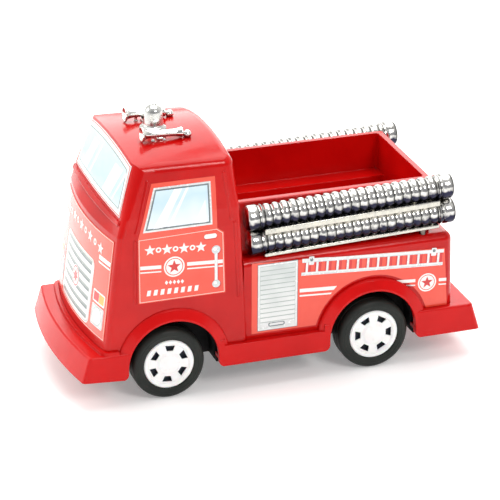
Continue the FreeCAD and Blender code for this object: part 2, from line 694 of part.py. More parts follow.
def make_hose_rack():
    """Two stacked hoses on a back plate with two bars, for the +X side."""
    back = BED_HALF_WIDTH + 0.1
    length = RACK_LENGTH
    upper = ribbed_hose(length, HOSE_SPACING / 2)
    lower = ribbed_hose(length, -HOSE_SPACING / 2)
    lower.translate(V(0, 0.5, 0))
    plate_half = HOSE_SPACING / 2 + 2.5
    plate = box((back - 1, back + 0.9), (2.0, length - 2.0), (-plate_half, plate_half))
    middle = flat_bar(-0.85, 0.85, HOSE_X + 2.5, length)
    bottom = flat_bar(-8.35, -7.05, HOSE_X + 1.7, length)
    web = box((back - 1, HOSE_X), (COUPLING_LENGTH + 1, length - COUPLING_LENGTH - 1), (-7.4, -5.5))
    rack = joined([upper, lower, plate, middle, bottom, web])
    rack = rack.cut(box((back - 10, back), (-10, length + 10), (-20, 20)))
    rack.rotate(V(0, 0, 0), X_AXIS, RACK_TILT_DEG)
    rack.translate(V(0, RACK_FRONT_Y, RACK_MIDDLE_Z))
    pegs = [rod(RACK_PEG_R, V(RACK_PEG_X, y, BED_FLOOR_Z - 0.6), V(0, 0, 4.5)) for y in RACK_PEGS_Y]
    return joined([rack] + pegs)


def horn(x):
    """A trumpet along Y with its large mouth in front, a small bell and a bulb behind."""
    mouth, tube = HORN_MOUTH_R, HORN_TUBE_R
    profile = [(-6.3, 0), (-6.3, mouth - 0.35), (-6.1, mouth), (-5.8, mouth - 0.05), (-5.4, mouth - 0.75),
               (-4.8, mouth - 1.2), (-3.8, tube + 0.2), (-2.2, tube), (3.0, tube), (4.4, tube + 0.15),
               (5.3, tube + 0.45), (6.0, tube + 0.75), (6.2, tube + 0.6), (6.2, 0)]
    body = turned(profile, V(x, 0, 0), Y_AXIS)
    bulb = Part.makeSphere(1.25, V(x, 7.7, -0.75))
    neck = rod(0.55, V(x, 5.6, -0.1), V(0, 2.0, -0.6))
    feet = [rod(0.5, V(x, y, -2.4), V(0, 0, 2.4)) for y in (-2.6, 0.8)]
    return joined([body, bulb, neck] + feet)


def beacon():
    """A domed lamp on a flared base, with a knob on top."""
    r, base, top = BEACON_R, BEACON_BASE_R, BEACON_TOP
    profile = [(-0.9, 0), (-0.9, base), (0.7, base), (1.0, base - 0.3), (1.3, r + 0.3), (1.8, r - 0.1),
               (2.6, r - 0.1), (3.2, r), (5.0, r), (5.8, r - 0.2), (6.5, r - 0.7), (7.1, r - 1.5),
               (7.4, 1.0), (7.6, 0.8), (top, 0.7), (top, 0)]
    return turned(profile, V(0, 0, 0), Z_AXIS)


def make_roof_unit():
    """Beacon on its plinth with a horn on each side, one plated moulding."""
    arms = box((-HORN_X - 0.3, HORN_X + 0.3), (-1.4, 1.4), (-0.9, 0.9))
    arms = arms.makeFillet(0.5, edges_where(arms, lambda p: p.z > 0.89))
    parts = [arms, beacon()]
    for side in (-1, 1):
        trumpet = horn(side * HORN_X)
        trumpet.translate(V(0, 0, HORN_Z))
        parts.append(trumpet)
    unit = joined(parts)
    unit.rotate(V(0, 0, 0), X_AXIS, -ROOF_UNIT_PITCH_DEG)
    unit.translate(V(0, ROOF_UNIT_Y, ROOF_UNIT_Z))
    unit = unit.cut(under_roof(0))
    peg = rod(ROOF_PEG_R, V(0, ROOF_UNIT_Y, ROOF_CROWN_Z - WALL - 0.8), V(0, 0, 3))
    return joined([unit, peg])


# ---------------------------------------------------------------- pull-back motor

def involute(radius, base_r):
    """The involute angle at a radius."""
    return math.sqrt(max((radius / base_r) ** 2 - 1, 0)) - math.acos(min(base_r / radius, 1))


def gear_blank(teeth, x_range, phase):
    """A spur gear about the X axis, its first tooth at the phase angle from +Y towards +Z."""
    pitch_r = MODULE * teeth / 2
    base_r = pitch_r * math.cos(PRESSURE_ANGLE)
    tip_r = pitch_r + TOOTH_TIP * MODULE
    root_r = pitch_r - TOOTH_ROOT * MODULE
    start_r = max(base_r, root_r)
    half = math.pi / 2 / teeth * (1 - TOOTH_SLACK) + involute(pitch_r, base_r)
    radii = [start_r + (tip_r - start_r) * i / 3 for i in range(4)]
    flank = [(r, half - involute(r, base_r)) for r in radii]
    if root_r < start_r:
        flank.insert(0, (root_r, flank[0][1]))
    outline = []
    for tooth in range(teeth):
        middle = phase + 2 * math.pi * tooth / teeth
        outline += [(r, middle - a) for r, a in flank]
        outline += [(r, middle + a) for r, a in reversed(flank)]
    points = [V(x_range[0], r * math.cos(a), r * math.sin(a)) for r, a in outline]
    return polygon_prism(points, V(x_range[1] - x_range[0], 0, 0))


def offset_point(start, distance, direction):
    """A (y, z) point at a distance and direction from another."""
    return (start[0] + distance * math.cos(direction), start[1] + distance * math.sin(direction))


AXLE_POINT = (REAR_AXLE_Y, AXLE_Z)
COMPOUND_POINT = offset_point(AXLE_POINT, MODULE * (AXLE_TEETH + WHEEL_TEETH) / 2, COMPOUND_DIRECTION)
DRUM_POINT = offset_point(COMPOUND_POINT, MODULE * (PINION_TEETH + DRUM_TEETH) / 2, DRUM_DIRECTION)


def placed(shape, point):
    """A shape moved from the X axis to a (y, z) point."""
    shape.translate(V(0, point[0], point[1]))
    return shape


def across(radius, x_range, point):
    """A cylinder along X at a (y, z) point."""
    return rod(radius, V(x_range[0], point[0], point[1]), V(x_range[1] - x_range[0], 0, 0))


def make_axle_gear():
    """The gear pressed on the rear axle. A gap faces the compound wheel."""
    phase = COMPOUND_DIRECTION + math.pi / AXLE_TEETH
    gear = placed(gear_blank(AXLE_TEETH, AXLE_GEAR_X, phase), AXLE_POINT)
    return gear.cut(across(AXLE_R, (-20, 20), AXLE_POINT))


def make_compound_gear():
    """A large wheel that drives the axle gear, in one piece with a pinion driven by the drum gear."""
    wheel = gear_blank(WHEEL_TEETH, WHEEL_X, COMPOUND_DIRECTION + math.pi)
    pinion = gear_blank(PINION_TEETH, PINION_X, DRUM_DIRECTION + math.pi / PINION_TEETH)
    gear = placed(wheel.fuse(pinion).removeSplitter(), COMPOUND_POINT)
    return gear.cut(across(PIN_R + RUNNING_GAP, (-20, 20), COMPOUND_POINT))


def make_compound_pin():
    """The fixed pin that the compound gear turns on."""
    reach = MOTOR_HALF_WIDTH - 0.2
    return across(PIN_R, (-reach, reach), COMPOUND_POINT)


def make_drum_gear():
    """The gear on the mainspring's arbor."""
    gear = placed(gear_blank(DRUM_TEETH, DRUM_X, DRUM_DIRECTION + math.pi), DRUM_POINT)
    reach = MOTOR_HALF_WIDTH - 0.2
    return joined([gear, across(ARBOR_R, (-reach, reach), DRUM_POINT)])


def make_mainspring():
    """A flat strip coiled round the arbor."""
    inner_r, outer_r = SPRING_R
    steps = 24 * SPRING_TURNS

    def coil(extra):
        points = []
        for i in range(steps + 1):
            share = i / steps
            radius = inner_r + (outer_r - inner_r) * share + extra
            angle = 2 * math.pi * SPRING_TURNS * share
            points.append(V(SPRING_X[0], radius * math.cos(angle), radius * math.sin(angle)))
        return points

    inner = coil(0)
    outer = coil(SPRING_THICK)
    curves = []
    for points in (inner, outer):
        curve = Part.BSplineCurve()
        curve.interpolate(points)
        curves.append(curve.toShape())
    ends = [Part.LineSegment(inner[i], outer[i]).toShape() for i in (0, -1)]
    wire = Part.Wire(Part.__sortEdges__([curves[0], ends[1], curves[1], ends[0]]))
    strip = Part.Face(wire).extrude(V(SPRING_X[1] - SPRING_X[0], 0, 0))
    return placed(strip, DRUM_POINT)


def motor_outline(gap):
    """The motor casing's outside, offset by gap."""
    half = MOTOR_HALF_WIDTH + gap
    return box((-half, half), (MOTOR_Y[0] - gap, MOTOR_Y[1] + gap), (MOTOR_Z[0] - gap, MOTOR_Z[1] + gap))


def make_motor_half(side):
    """Half of the motor casing, split at X = 0, with bearings, screw posts and feet."""
    block = motor_outline(0)
    rims = edges_where(block, lambda p: abs(p.x) < 0.01)
    block = block.makeFillet(2.0, rims)
    inside = motor_outline(-MOTOR_WALL)
    rims = edges_where(inside, lambda p: abs(p.x) < 0.01)
    shell = block.cut(inside.makeFillet(1.0, rims))
    reach = MOTOR_HALF_WIDTH - MOTOR_WALL
    posts = [across(MOTOR_POST_R, (-reach - 0.1, reach + 0.1), point) for point in MOTOR_POSTS]
    foot_x = MOTOR_FOOT_X + 1.5
    feet = [box((-foot_x, foot_x), (y - 2.5, y + 2.5), (PLATE_Z[1], PLATE_Z[1] + MOTOR_FOOT_THICK))
            for y in MOTOR_FEET_Y]
    shell = shell.fuse(posts + [foot.cut(inside) for foot in feet]).removeSplitter()
    shell = shell.cut(across(AXLE_R + RUNNING_GAP, (-20, 20), AXLE_POINT))
    shell = shell.cut(across(ARBOR_R + RUNNING_GAP, (-20, 20), DRUM_POINT))
    shell = shell.cut(across(PIN_R, (-20, 20), COMPOUND_POINT))
    for point in MOTOR_POSTS:
        shell = shell.cut(across(MOTOR_SCREW_R, (-6, 20), point))
        shell = shell.cut(across(MOTOR_SCREW_HEAD_R + 0.05, (reach, 20), point))
    for x, y in foot_points():
        shell = shell.cut(rod(MOTOR_SCREW_R + 0.1, V(x, y, 0), V(0, 0, 20)))
    keep = box((0, 20), (0, 60), (0, 60)) if side > 0 else box((-20, 0), (0, 60), (0, 60))
    return shell.common(keep)


def make_motor_case_screws():
    """Three screws through the casing halves."""
    reach = MOTOR_HALF_WIDTH - MOTOR_WALL
    screws = []
    for point in MOTOR_POSTS:
        head = across(MOTOR_SCREW_HEAD_R, (reach, reach + MOTOR_SCREW_HEAD), point)
        screws.append(head.fuse(across(MOTOR_SCREW_R - 0.05, (-5.5, reach), point)).removeSplitter())
    return Part.makeCompound(screws)


def make_motor_foot_screws():
    """Four screws that hold the casing's feet to the base plate."""
    top = PLATE_Z[1] + MOTOR_FOOT_THICK
    low = PLATE_Z[0] + 0.2
    screws = []
    for x, y in foot_points():
        head = rod(MOTOR_SCREW_HEAD_R, V(x, y, top), V(0, 0, MOTOR_SCREW_HEAD))
        shank = rod(MOTOR_SCREW_R, V(x, y, low), V(0, 0, top - low))
        screws.append(head.fuse(shank).removeSplitter())
    return Part.makeCompound(screws)


# ---------------------------------------------------------------- all pieces

def make_parts():
    """Every piece by its name."""
    parts = {
        "body_casting": make_body_casting(),
        "fender_skirt": make_fender_skirt(),
        "base_plate": make_base_plate(),
        "base_screws": make_base_screws(),
        "windshield_foil": make_windshield_foil(),
        "front_foil": make_front_foil(),
        "roof_beacon_unit": make_roof_unit(),
        "motor_case_left": make_motor_half(1),
        "motor_case_right": make_motor_half(-1),
        "motor_case_screws": make_motor_case_screws(),
        "motor_foot_screws": make_motor_foot_screws(),
        "axle_gear": make_axle_gear(),
        "compound_gear": make_compound_gear(),
        "compound_pin": make_compound_pin(),
        "drum_gear": make_drum_gear(),
        "mainspring": make_mainspring(),
    }
    pairs = {"door_foil": make_door_foil(), "side_foil": make_side_foil(), "hose_rack": make_hose_rack()}
    for place, axle_y, turn in (("front", FRONT_AXLE_Y, -5), ("rear", REAR_AXLE_Y, 30)):
        parts["axle_" + place] = make_axle(axle_y)
        pairs["tyre_" + place] = make_tyre(axle_y)
        pairs["hub_" + place] = make_hub(axle_y, turn)
    for name, shape in pairs.items():
        parts[name + "_left"] = shape
        parts[name + "_right"] = mirrored(shape)
    return parts


def main():
    """Write each piece as its own STEP file."""
    os.makedirs("parts", exist_ok=True)
    for name, shape in sorted(make_parts().items()):
        shape.exportStep("parts/%s.step" % name)
        size = shape.optimalBoundingBox()
        print("%-18s solids %d  %s  %8.1f mm3  x %.1f to %.1f  y %.1f to %.1f  z %.1f to %.1f" % (
            name, len(shape.Solids), "closed" if shape.isValid() else "BROKEN", shape.Volume,
            size.XMin, size.XMax, size.YMin, size.YMax, size.ZMin, size.ZMax))


main()
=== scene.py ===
import itertools
import math

import bmesh
import bpy
from mathutils import Matrix, Vector
from mathutils.bvhtree import BVHTree


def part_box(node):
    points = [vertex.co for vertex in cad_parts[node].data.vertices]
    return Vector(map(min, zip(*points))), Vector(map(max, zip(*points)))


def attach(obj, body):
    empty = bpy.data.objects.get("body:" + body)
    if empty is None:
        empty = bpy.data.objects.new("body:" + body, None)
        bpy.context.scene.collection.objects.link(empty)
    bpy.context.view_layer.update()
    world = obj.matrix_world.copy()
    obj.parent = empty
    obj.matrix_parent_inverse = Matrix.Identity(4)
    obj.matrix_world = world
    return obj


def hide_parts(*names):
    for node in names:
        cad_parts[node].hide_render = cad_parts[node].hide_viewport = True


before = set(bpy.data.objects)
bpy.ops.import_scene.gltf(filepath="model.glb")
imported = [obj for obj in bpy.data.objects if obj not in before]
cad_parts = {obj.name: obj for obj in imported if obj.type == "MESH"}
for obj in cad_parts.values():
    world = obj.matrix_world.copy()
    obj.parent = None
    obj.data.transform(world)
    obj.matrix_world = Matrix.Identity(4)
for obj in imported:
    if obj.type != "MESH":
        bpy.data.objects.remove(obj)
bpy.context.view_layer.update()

# Lengths are in metres, in the frame of the CAD model: +Z up, the truck's front faces -Y, its left is +X.
MM = 0.001
SMOOTH_ANGLE = math.radians(35)
SAME_POINT = 1e-7
BODY = "truck"


# ---------------------------------------------------------------- mesh helpers

def side_name(side):
    """The name of a side: +1 is the truck's left, -1 its right."""
    return "left" if side > 0 else "right"


def finish_mesh(name, mesh, material, body=BODY):
    """Turn a bmesh into a piece: shaded smooth up to sharp edges, with its material, slot and body."""
    bmesh.ops.remove_doubles(mesh, verts=mesh.verts, dist=SAME_POINT)
    bmesh.ops.recalc_face_normals(mesh, faces=mesh.faces)
    for face in mesh.faces:
        face.smooth = True
    for edge in mesh.edges:
        edge.smooth = len(edge.link_faces) == 2 and edge.calc_face_angle(0) < SMOOTH_ANGLE
    data = bpy.data.meshes.new(name)
    mesh.to_mesh(data)
    mesh.free()
    piece = bpy.data.objects.new(name, data)
    bpy.context.scene.collection.objects.link(piece)
    data.materials.append(material)
    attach(piece, body)
    return piece


def rounded(points, passes, share=0.25):
    """An open outline with its corners cut again and again, which rounds them. Its ends stay."""
    for _ in range(passes):
        result = [points[0]]
        for a, b in zip(points, points[1:]):
            result.append(tuple(p + (q - p) * share for p, q in zip(a, b)))
            result.append(tuple(q + (p - q) * share for p, q in zip(a, b)))
        result.append(points[-1])
        points = result
    return points


def add_turned(mesh, profile, centre, axis, segments=72):
    """Add a (distance along axis, radius) profile turned about an axis through centre. Closed at radius 0."""
    along = Vector(axis).normalized()
    side = along.orthogonal().normalized()
    up = along.cross(side)
    rings = []
    for distance, radius in profile:
        middle = Vector(centre) + along * distance
        if radius < SAME_POINT:
            rings.append([mesh.verts.new(middle)])
            continue
        ring = []
        for index in range(segments):
            angle = 2 * math.pi * index / segments
            ring.append(mesh.verts.new(middle + (side * math.cos(angle) + up * math.sin(angle)) * radius))
        rings.append(ring)
    for first, second in zip(rings, rings[1:]):
        join_rings(mesh, first, second)
    return rings


def join_rings(mesh, first, second):
    """Faces between two rings of points, either of which may be a single point."""
    count = max(len(first), len(second))
    if count == 1:
        return
    for index in range(count):
        after = (index + 1) % count
        corners = [first[index % len(first)], first[after % len(first)],
                   second[after % len(second)], second[index % len(second)]]
        mesh.faces.new(list(dict.fromkeys(corners)))


# ---------------------------------------------------------------- flat shapes for the printed artwork

def rect(a_low, a_high, b_low, b_high):
    """An upright rectangle as one outline."""
    return [(a_low, b_low), (a_high, b_low), (a_high, b_high), (a_low, b_high)]


def rounded_rect(a_low, a_high, b_low, b_high, radius):
    """A rectangle with round corners."""
    steps = 5
    outline = []
    corners = [(a_high - radius, b_low + radius, -90), (a_high - radius, b_high - radius, 0),
               (a_low + radius, b_high - radius, 90), (a_low + radius, b_low + radius, 180)]
    for a, b, start in corners:
        for step in range(steps + 1):
            angle = math.radians(start + 90.0 * step / steps)
            outline.append((a + radius * math.cos(angle), b + radius * math.sin(angle)))
    return outline


def disc(a, b, radius, steps=40):
    """A round outline."""
    return [(a + radius * math.cos(2 * math.pi * i / steps), b + radius * math.sin(2 * math.pi * i / steps))
            for i in range(steps)]


def band(outer, inner):
    """Quads between two outlines with the same number of points."""
    count = len(outer)
    return [[outer[i], outer[(i + 1) % count], inner[(i + 1) % count], inner[i]] for i in range(count)]


def shrunk(outline, amount):
    """A convex outline moved inwards by an amount."""
    result = []
    count = len(outline)
    least_mitre = 0.3
    for index in range(count):
        before, here, after = (Vector(outline[(index + k) % count]) for k in (-1, 0, 1))
        first = (here - before).normalized()
        second = (after - here).normalized()
        normal_1 = Vector((-first.y, first.x))
        normal_2 = Vector((-second.y, second.x))
        middle = (normal_1 + normal_2).normalized()
        result.append(tuple(here + middle * amount / max(middle.dot(normal_1), least_mitre)))
    return result


def star(a, b, radius, points=5, inner=0.42):
    """A pointed star as kites from its middle."""
    tips = []
    for index in range(2 * points):
        reach = radius if index % 2 == 0 else radius * inner
        angle = math.pi / 2 + math.pi * index / points
        tips.append((a + reach * math.cos(angle), b + reach * math.sin(angle)))
    return [[(a, b), tips[2 * i - 1], tips[2 * i], tips[2 * i + 1]] for i in range(points)]


def diamond(a, b, half_a, half_b):
    """A lozenge."""
    return [(a - half_a, b), (a, b - half_b), (a + half_a, b), (a, b + half_b)]


def tilted(shapes, degrees, about):
    """Outlines turned about a point."""
    cos, sin = math.cos(math.radians(degrees)), math.sin(math.radians(degrees))
    middle_a, middle_b = about
    return [[(middle_a + (a - middle_a) * cos - (b - middle_b) * sin,
              middle_b + (a - middle_a) * sin + (b - middle_b) * cos) for a, b in outline]
            for outline in shapes]


# ---------------------------------------------------------------- printing on the foils

INK_LIFT = 0.012 * MM
INK_THICK = 0.022 * MM
RAY_START = 0.1
# On the flat artwork, in millimetres: a cell, the margin at a foil's edge, and what counts as one point.
PRINT_CELL = 1.5
FOIL_MARGIN = 0.02
FLAT_WELD = 1e-4
CUT_WELD = 1e-5


class Foil:
    """A CAD foil that artwork is printed on. Artwork is in millimetres across and up, from its own origin."""

    def __init__(self, node, facing):
        self.tree = BVHTree.FromObject(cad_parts[node], bpy.context.evaluated_depsgraph_get())
        self.facing = Vector(facing)
        self.on_flank = abs(self.facing.x) > abs(self.facing.y)
        self.low, self.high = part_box(node)

    def place(self, a, b):
        """The surface point and its outward normal at a place on the artwork."""
        if self.on_flank:
            start = Vector((self.facing.x * RAY_START, a * MM, b * MM))
        else:
            start = Vector((a * MM, -RAY_START, b * MM))
        point, normal, _, _ = self.tree.ray_cast(start, -self.facing)
        if point is None:
            nearest, normal, _, _ = self.tree.find_nearest(start)
            point = Vector((nearest.x, start.y, start.z)) if self.on_flank else nearest
        if normal.dot(self.facing) < 0:
            normal = -normal
        return point, normal

    def clipped(self, a, b):
        """A place kept just inside the foil's own box."""
        across = 1 if self.on_flank else 0
        low_a, high_a = self.low[across] / MM + FOIL_MARGIN, self.high[across] / MM - FOIL_MARGIN
        low_b, high_b = self.low.z / MM + FOIL_MARGIN, self.high.z / MM - FOIL_MARGIN
        return min(max(a, low_a), high_a), min(max(b, low_b), high_b)


def cut_grid(mesh):
    """Cut a flat mesh into cells, so that it can follow a curve."""
    for axis in (0, 1):
        values = [v.co[axis] for v in mesh.verts]
        normal = Vector((1, 0, 0)) if axis == 0 else Vector((0, 1, 0))
        line = math.ceil(min(values) / PRINT_CELL) * PRINT_CELL
        while line < max(values):
            everything = mesh.verts[:] + mesh.edges[:] + mesh.faces[:]
            bmesh.ops.bisect_plane(mesh, geom=everything, plane_co=normal * line, plane_no=normal,
                                   dist=CUT_WELD)
            line += PRINT_CELL


def printed(name, foil, shapes, ink, layer):
    """Thin printed shapes that follow a foil's surface, each layer above the last."""
    mesh = bmesh.new()
    for outline in shapes:
        places = [foil.clipped(a, b) for a, b in outline]
        mesh.faces.new([mesh.verts.new((a, b, 0)) for a, b in places])
    bmesh.ops.remove_doubles(mesh, verts=mesh.verts, dist=FLAT_WELD)
    cut_grid(mesh)
    height = INK_LIFT + layer * INK_THICK
    tops = {}
    for vertex in mesh.verts:
        point, normal = foil.place(vertex.co.x, vertex.co.y)
        vertex.co = point + normal * height
        tops[vertex] = normal * INK_THICK
    sheet = mesh.faces[:]
    rim = [edge for edge in mesh.edges if len(edge.link_faces) == 1]
    copies = {vertex: mesh.verts.new(vertex.co + lift) for vertex, lift in tops.items()}
    for face in sheet:
        mesh.faces.new([copies[v] for v in face.verts])
    for edge in rim:
        first, second = edge.verts
        mesh.faces.new([first, second, copies[second], copies[first]])
    return finish_mesh(name, mesh, ink)


# ---------------------------------------------------------------- materials

NOISE_ROUGHNESS = 0.55
PATCH_LOW, PATCH_HIGH = 0.35, 0.65
SMEAR_RATIO = 3.1
BEVEL_SAMPLES = 4
COAT_ROUGHNESS = 0.04
WAVE_DEPTH = 0.10 * MM
PIT_DEPTH = 0.006 * MM


def new_material(name):
    """An empty node material with a Principled shader, and a function that adds linked nodes."""
    material = bpy.data.materials.new(name)
    material.use_nodes = True
    tree = material.node_tree
    tree.nodes.clear()
    output = tree.nodes.new("ShaderNodeOutputMaterial")
    shader = tree.nodes.new("ShaderNodeBsdfPrincipled")
    tree.links.new(shader.outputs[0], output.inputs["Surface"])

    def add(kind, links=None, settings=None, **values):
        node = tree.nodes.new(kind)
        for key, value in (settings or {}).items():
            setattr(node, key, value)
        for key, value in values.items():
            node.inputs[key.replace("_", " ")].default_value = value
        for key, source in (links or {}).items():
            tree.links.new(source, node.inputs[key])
        return node

    def link(source, target):
        tree.links.new(source, shader.inputs[target])

    return material, shader, add, link


def noise_at(add, place, scale, detail=4.0):
    """A noise texture's value, in the object's own coordinates."""
    noise = add("ShaderNodeTexNoise", {"Vector": place}, Scale=scale, Detail=detail,
                Roughness=NOISE_ROUGHNESS)
    return noise.outputs["Fac"]


def blend_colours(add, factor, first, second):
    """A colour that goes from first to second across the middle of the factor's range."""
    ramp = add("ShaderNodeValToRGB", {"Fac": factor})
    low, high = ramp.color_ramp.elements
    low.position, low.color = PATCH_LOW, (*first, 1)
    high.position, high.color = PATCH_HIGH, (*second, 1)
    return ramp.outputs["Color"]


def ranged(add, value, low, high, from_low=0.3, from_high=0.7):
    """A value mapped from one range to another."""
    node = add("ShaderNodeMapRange", {"Value": value}, To_Min=low, To_Max=high, From_Min=from_low,
               From_Max=from_high)
    return node.outputs["Result"]


def surface(name, first, second, gloss, mottle, metallic=0.0, coat=0.0, relief=(), bevel=0.0, **inputs):
    """A material with mottled colour, uneven gloss (lowest, highest roughness) and layers of relief.

    relief is a list of (noise scale, depth in millimetres). bevel rounds the look of edges, in millimetres.
    """
    material, shader, add, link = new_material(name)
    place = add("ShaderNodeTexCoord").outputs["Object"]
    link(blend_colours(add, noise_at(add, place, mottle), first, second), "Base Color")
    smears = noise_at(add, place, mottle * SMEAR_RATIO, detail=6.0)
    link(ranged(add, smears, *gloss), "Roughness")
    normal = None
    if bevel:
        rounding = add("ShaderNodeBevel", settings={"samples": BEVEL_SAMPLES}, Radius=bevel * MM)
        normal = rounding.outputs["Normal"]
    for scale, depth in relief:
        links = {"Height": noise_at(add, place, scale, detail=3.0)}
        if normal:
            links["Normal"] = normal
        normal = add("ShaderNodeBump", links, Distance=depth * MM, Strength=1.0).outputs["Normal"]
    if normal:
        link(normal, "Normal")
    shader.inputs["Metallic"].default_value = metallic
    shader.inputs["Coat Weight"].default_value = coat
    shader.inputs["Coat Roughness"].default_value = COAT_ROUGHNESS
    for key, value in inputs.items():
        shader.inputs[key.replace("_", " ")].default_value = value
    return material


def gradient_print(name, low_z, high_z, stops, coat, cloud=0.12, roughness=0.16):
    """A printed colour gradient up the model, with faint clouds in it."""
    material, shader, add, link = new_material(name)
    place = add("ShaderNodeTexCoord").outputs["Object"]
    height = add("ShaderNodeSeparateXYZ", {"Vector": place}).outputs["Z"]
    cloud_scale = 110.0
    clouds = noise_at(add, place, cloud_scale, detail=2.0)
    share = ranged(add, height, 0.0, 1.0, low_z, high_z)
    drift = ranged(add, clouds, -cloud, cloud)
    total = add("ShaderNodeMath", {0: share, 1: drift}, settings={"operation": "ADD"}).outputs[0]
    ramp = add("ShaderNodeValToRGB", {"Fac": total})
    elements = ramp.color_ramp.elements
    elements[0].color = (*stops[0], 1)
    elements[1].color = (*stops[-1], 1)
    for index, colour in enumerate(stops[1:-1], start=1):
        middle = elements.new(index / (len(stops) - 1))
        middle.color = (*colour, 1)
    link(ramp.outputs["Color"], "Base Color")
    shader.inputs["Roughness"].default_value = roughness
    shader.inputs["Specular IOR Level"].default_value = coat
    shader.inputs["Coat Weight"].default_value = coat
    return material


def chrome(name, bright, dark, roughness, rear_share=1.0, lift=0.0, crown=1.0):
    """Bright plating with painted reflection and shade: its colour follows the way each face points, with a
    painted dark band low down, and waves, pits and uneven haze.

    rear_share and crown are what is left of the colour, as painted shade, on flanks that face the rear and on
    the very top, apart from end faces. lift raises the painted dark band's upper end.
    """
    material, shader, add, link = new_material(name)
    place = add("ShaderNodeTexCoord").outputs["Object"]
    facing = add("ShaderNodeSeparateXYZ", {"Vector": add("ShaderNodeNewGeometry").outputs["Normal"]})
    waves = noise_at(add, place, 420.0, detail=2.0)
    pits = noise_at(add, place, 2600.0, detail=3.0)
    haze = noise_at(add, place, 700.0, detail=6.0)
    # Painted reflection and shade: the colour is set by the world direction each face points, with a painted
    # dark band on faces that look down at a slant, a paler top, darker flanks that face the rear and bright
    # end faces.
    shade = painted_reflection_ramp(add, facing.outputs["Z"], waves, bright, dark, lift, crown)
    flank = ranged(add, facing.outputs["Y"], 1.0, rear_share, 0.05, 0.45)
    end_face = ranged(add, facing.outputs["Y"], 0.0, 1.0, 0.93, 0.99)
    steep = add("ShaderNodeMath", {0: flank, 1: end_face}, {"operation": "MAXIMUM"}).outputs[0]
    shaded = add("ShaderNodeVectorMath", {0: shade, 1: steep}, {"operation": "MULTIPLY"})
    link(shaded.outputs["Vector"], "Base Color")
    link(ranged(add, haze, roughness * 0.6, roughness * 1.9), "Roughness")
    wavy = add("ShaderNodeBump", {"Height": waves}, Distance=WAVE_DEPTH, Strength=1.0)
    pitted = add("ShaderNodeBump", {"Height": pits, "Normal": wavy.outputs["Normal"]}, Distance=PIT_DEPTH,
                 Strength=1.0)
    link(pitted.outputs["Normal"], "Normal")
    shader.inputs["Metallic"].default_value = 1.0
    return material


def painted_reflection_ramp(add, up, waves, bright, dark, lift, crown):
    """Plating's painted reflection and shade by how far its face looks up, from -1 at the ramp's start to 1
    at its end.
    """
    drift = ranged(add, waves, -0.16, 0.16)
    height = add("ShaderNodeMath", {0: up, 1: drift}, {"operation": "ADD"}).outputs[0]
    ramp = add("ShaderNodeValToRGB", {"Fac": ranged(add, height, 0.0, 1.0, -1.0, 1.0)})
    elements = ramp.color_ramp.elements
    elements[0].position, elements[0].color = 0.04, (*bright, 1)
    elements[1].position, elements[1].color = 0.56 + lift, (*bright, 1)
    between = tuple(0.6 * c for c in bright)
    top = tuple(crown * c for c in bright)
    # bright straight down, a painted dark band on faces that look down at a slant, bright on level and upward
    # faces, the very top scaled by crown
    for position, colour in ((0.12, dark), (0.36 + lift, dark), (0.44 + lift, between), (0.82, bright),
                             (0.92, top)):
        middle = elements.new(position)
        middle.color = (*colour, 1)
    return ramp.outputs["Color"]


RED = (0.56, 0.004, 0.003)
RED_DEEP = (0.46, 0.002, 0.002)
CORAL = (0.80, 0.062, 0.030)
CORAL_PALE = (0.84, 0.088, 0.050)

enamel = surface("red_enamel", RED, RED_DEEP, (0.10, 0.22), coat=0.09, mottle=60.0, bevel=0.35,
                 relief=[(260.0, 0.020), (1500.0, 0.004)], Specular_IOR_Level=0.23)
skirt_red = surface("skirt_plastic", (0.60, 0.004, 0.004), (0.53, 0.003, 0.003), (0.14, 0.26), coat=0.06,
                    mottle=80.0, bevel=0.30, relief=[(420.0, 0.022), (2200.0, 0.006)],
                    Specular_IOR_Level=0.17)
black_plastic = surface("black_plastic", (0.004, 0.004, 0.004), (0.008, 0.008, 0.009), (0.5, 0.65),
                        mottle=140.0, bevel=0.15, relief=[(2400.0, 0.03)], Specular_IOR_Level=0.15)
# Colour of the painted shade inside the hub windows.
painted_window_shade = surface("painted_window_shade", (0.026, 0.032, 0.044), (0.045, 0.052, 0.066), (0.45, 0.6),
                       mottle=140.0, relief=[(2400.0, 0.02)], Specular_IOR_Level=0.15)
rubber = surface("tyre_rubber", (0.014, 0.017, 0.015), (0.022, 0.025, 0.022), (0.36, 0.5), mottle=120.0,
                 relief=[(900.0, 0.02), (3600.0, 0.012)], Specular_IOR_Level=0.2)
white_plastic = surface("hub_white", (0.93, 0.93, 0.92), (0.88, 0.88, 0.87), (0.24, 0.38), mottle=150.0,
                        bevel=0.2, relief=[(900.0, 0.015)], Subsurface_Weight=0.15, Subsurface_Scale=0.0008)
zinc = surface("zinc_plate", (0.58, 0.58, 0.56), (0.50, 0.51, 0.54), (0.25, 0.45), metallic=1.0,
               mottle=300.0, relief=[(2200.0, 0.01)])
steel = surface("bright_steel", (0.62, 0.62, 0.62), (0.54, 0.54, 0.55), (0.16, 0.32), metallic=1.0,
                mottle=260.0, relief=[(3000.0, 0.006)])
motor_black = surface("motor_plastic", (0.020, 0.020, 0.022), (0.030, 0.030, 0.033), (0.32, 0.48),
                      mottle=200.0, bevel=0.2, relief=[(1800.0, 0.02)])
acetal = surface("gear_acetal", (0.76, 0.73, 0.64), (0.70, 0.67, 0.58), (0.3, 0.42), mottle=220.0,
                 relief=[(1600.0, 0.01)], Subsurface_Weight=0.2, Subsurface_Scale=0.001)
blued = surface("blued_strip", (0.16, 0.17, 0.24), (0.26, 0.25, 0.27), (0.2, 0.36), metallic=1.0,
                mottle=400.0, relief=[(2600.0, 0.008)])
coral_film = surface("coral_film", CORAL, CORAL_PALE, (0.14, 0.22), coat=0.35, mottle=50.0,
                     relief=[(700.0, 0.006)])
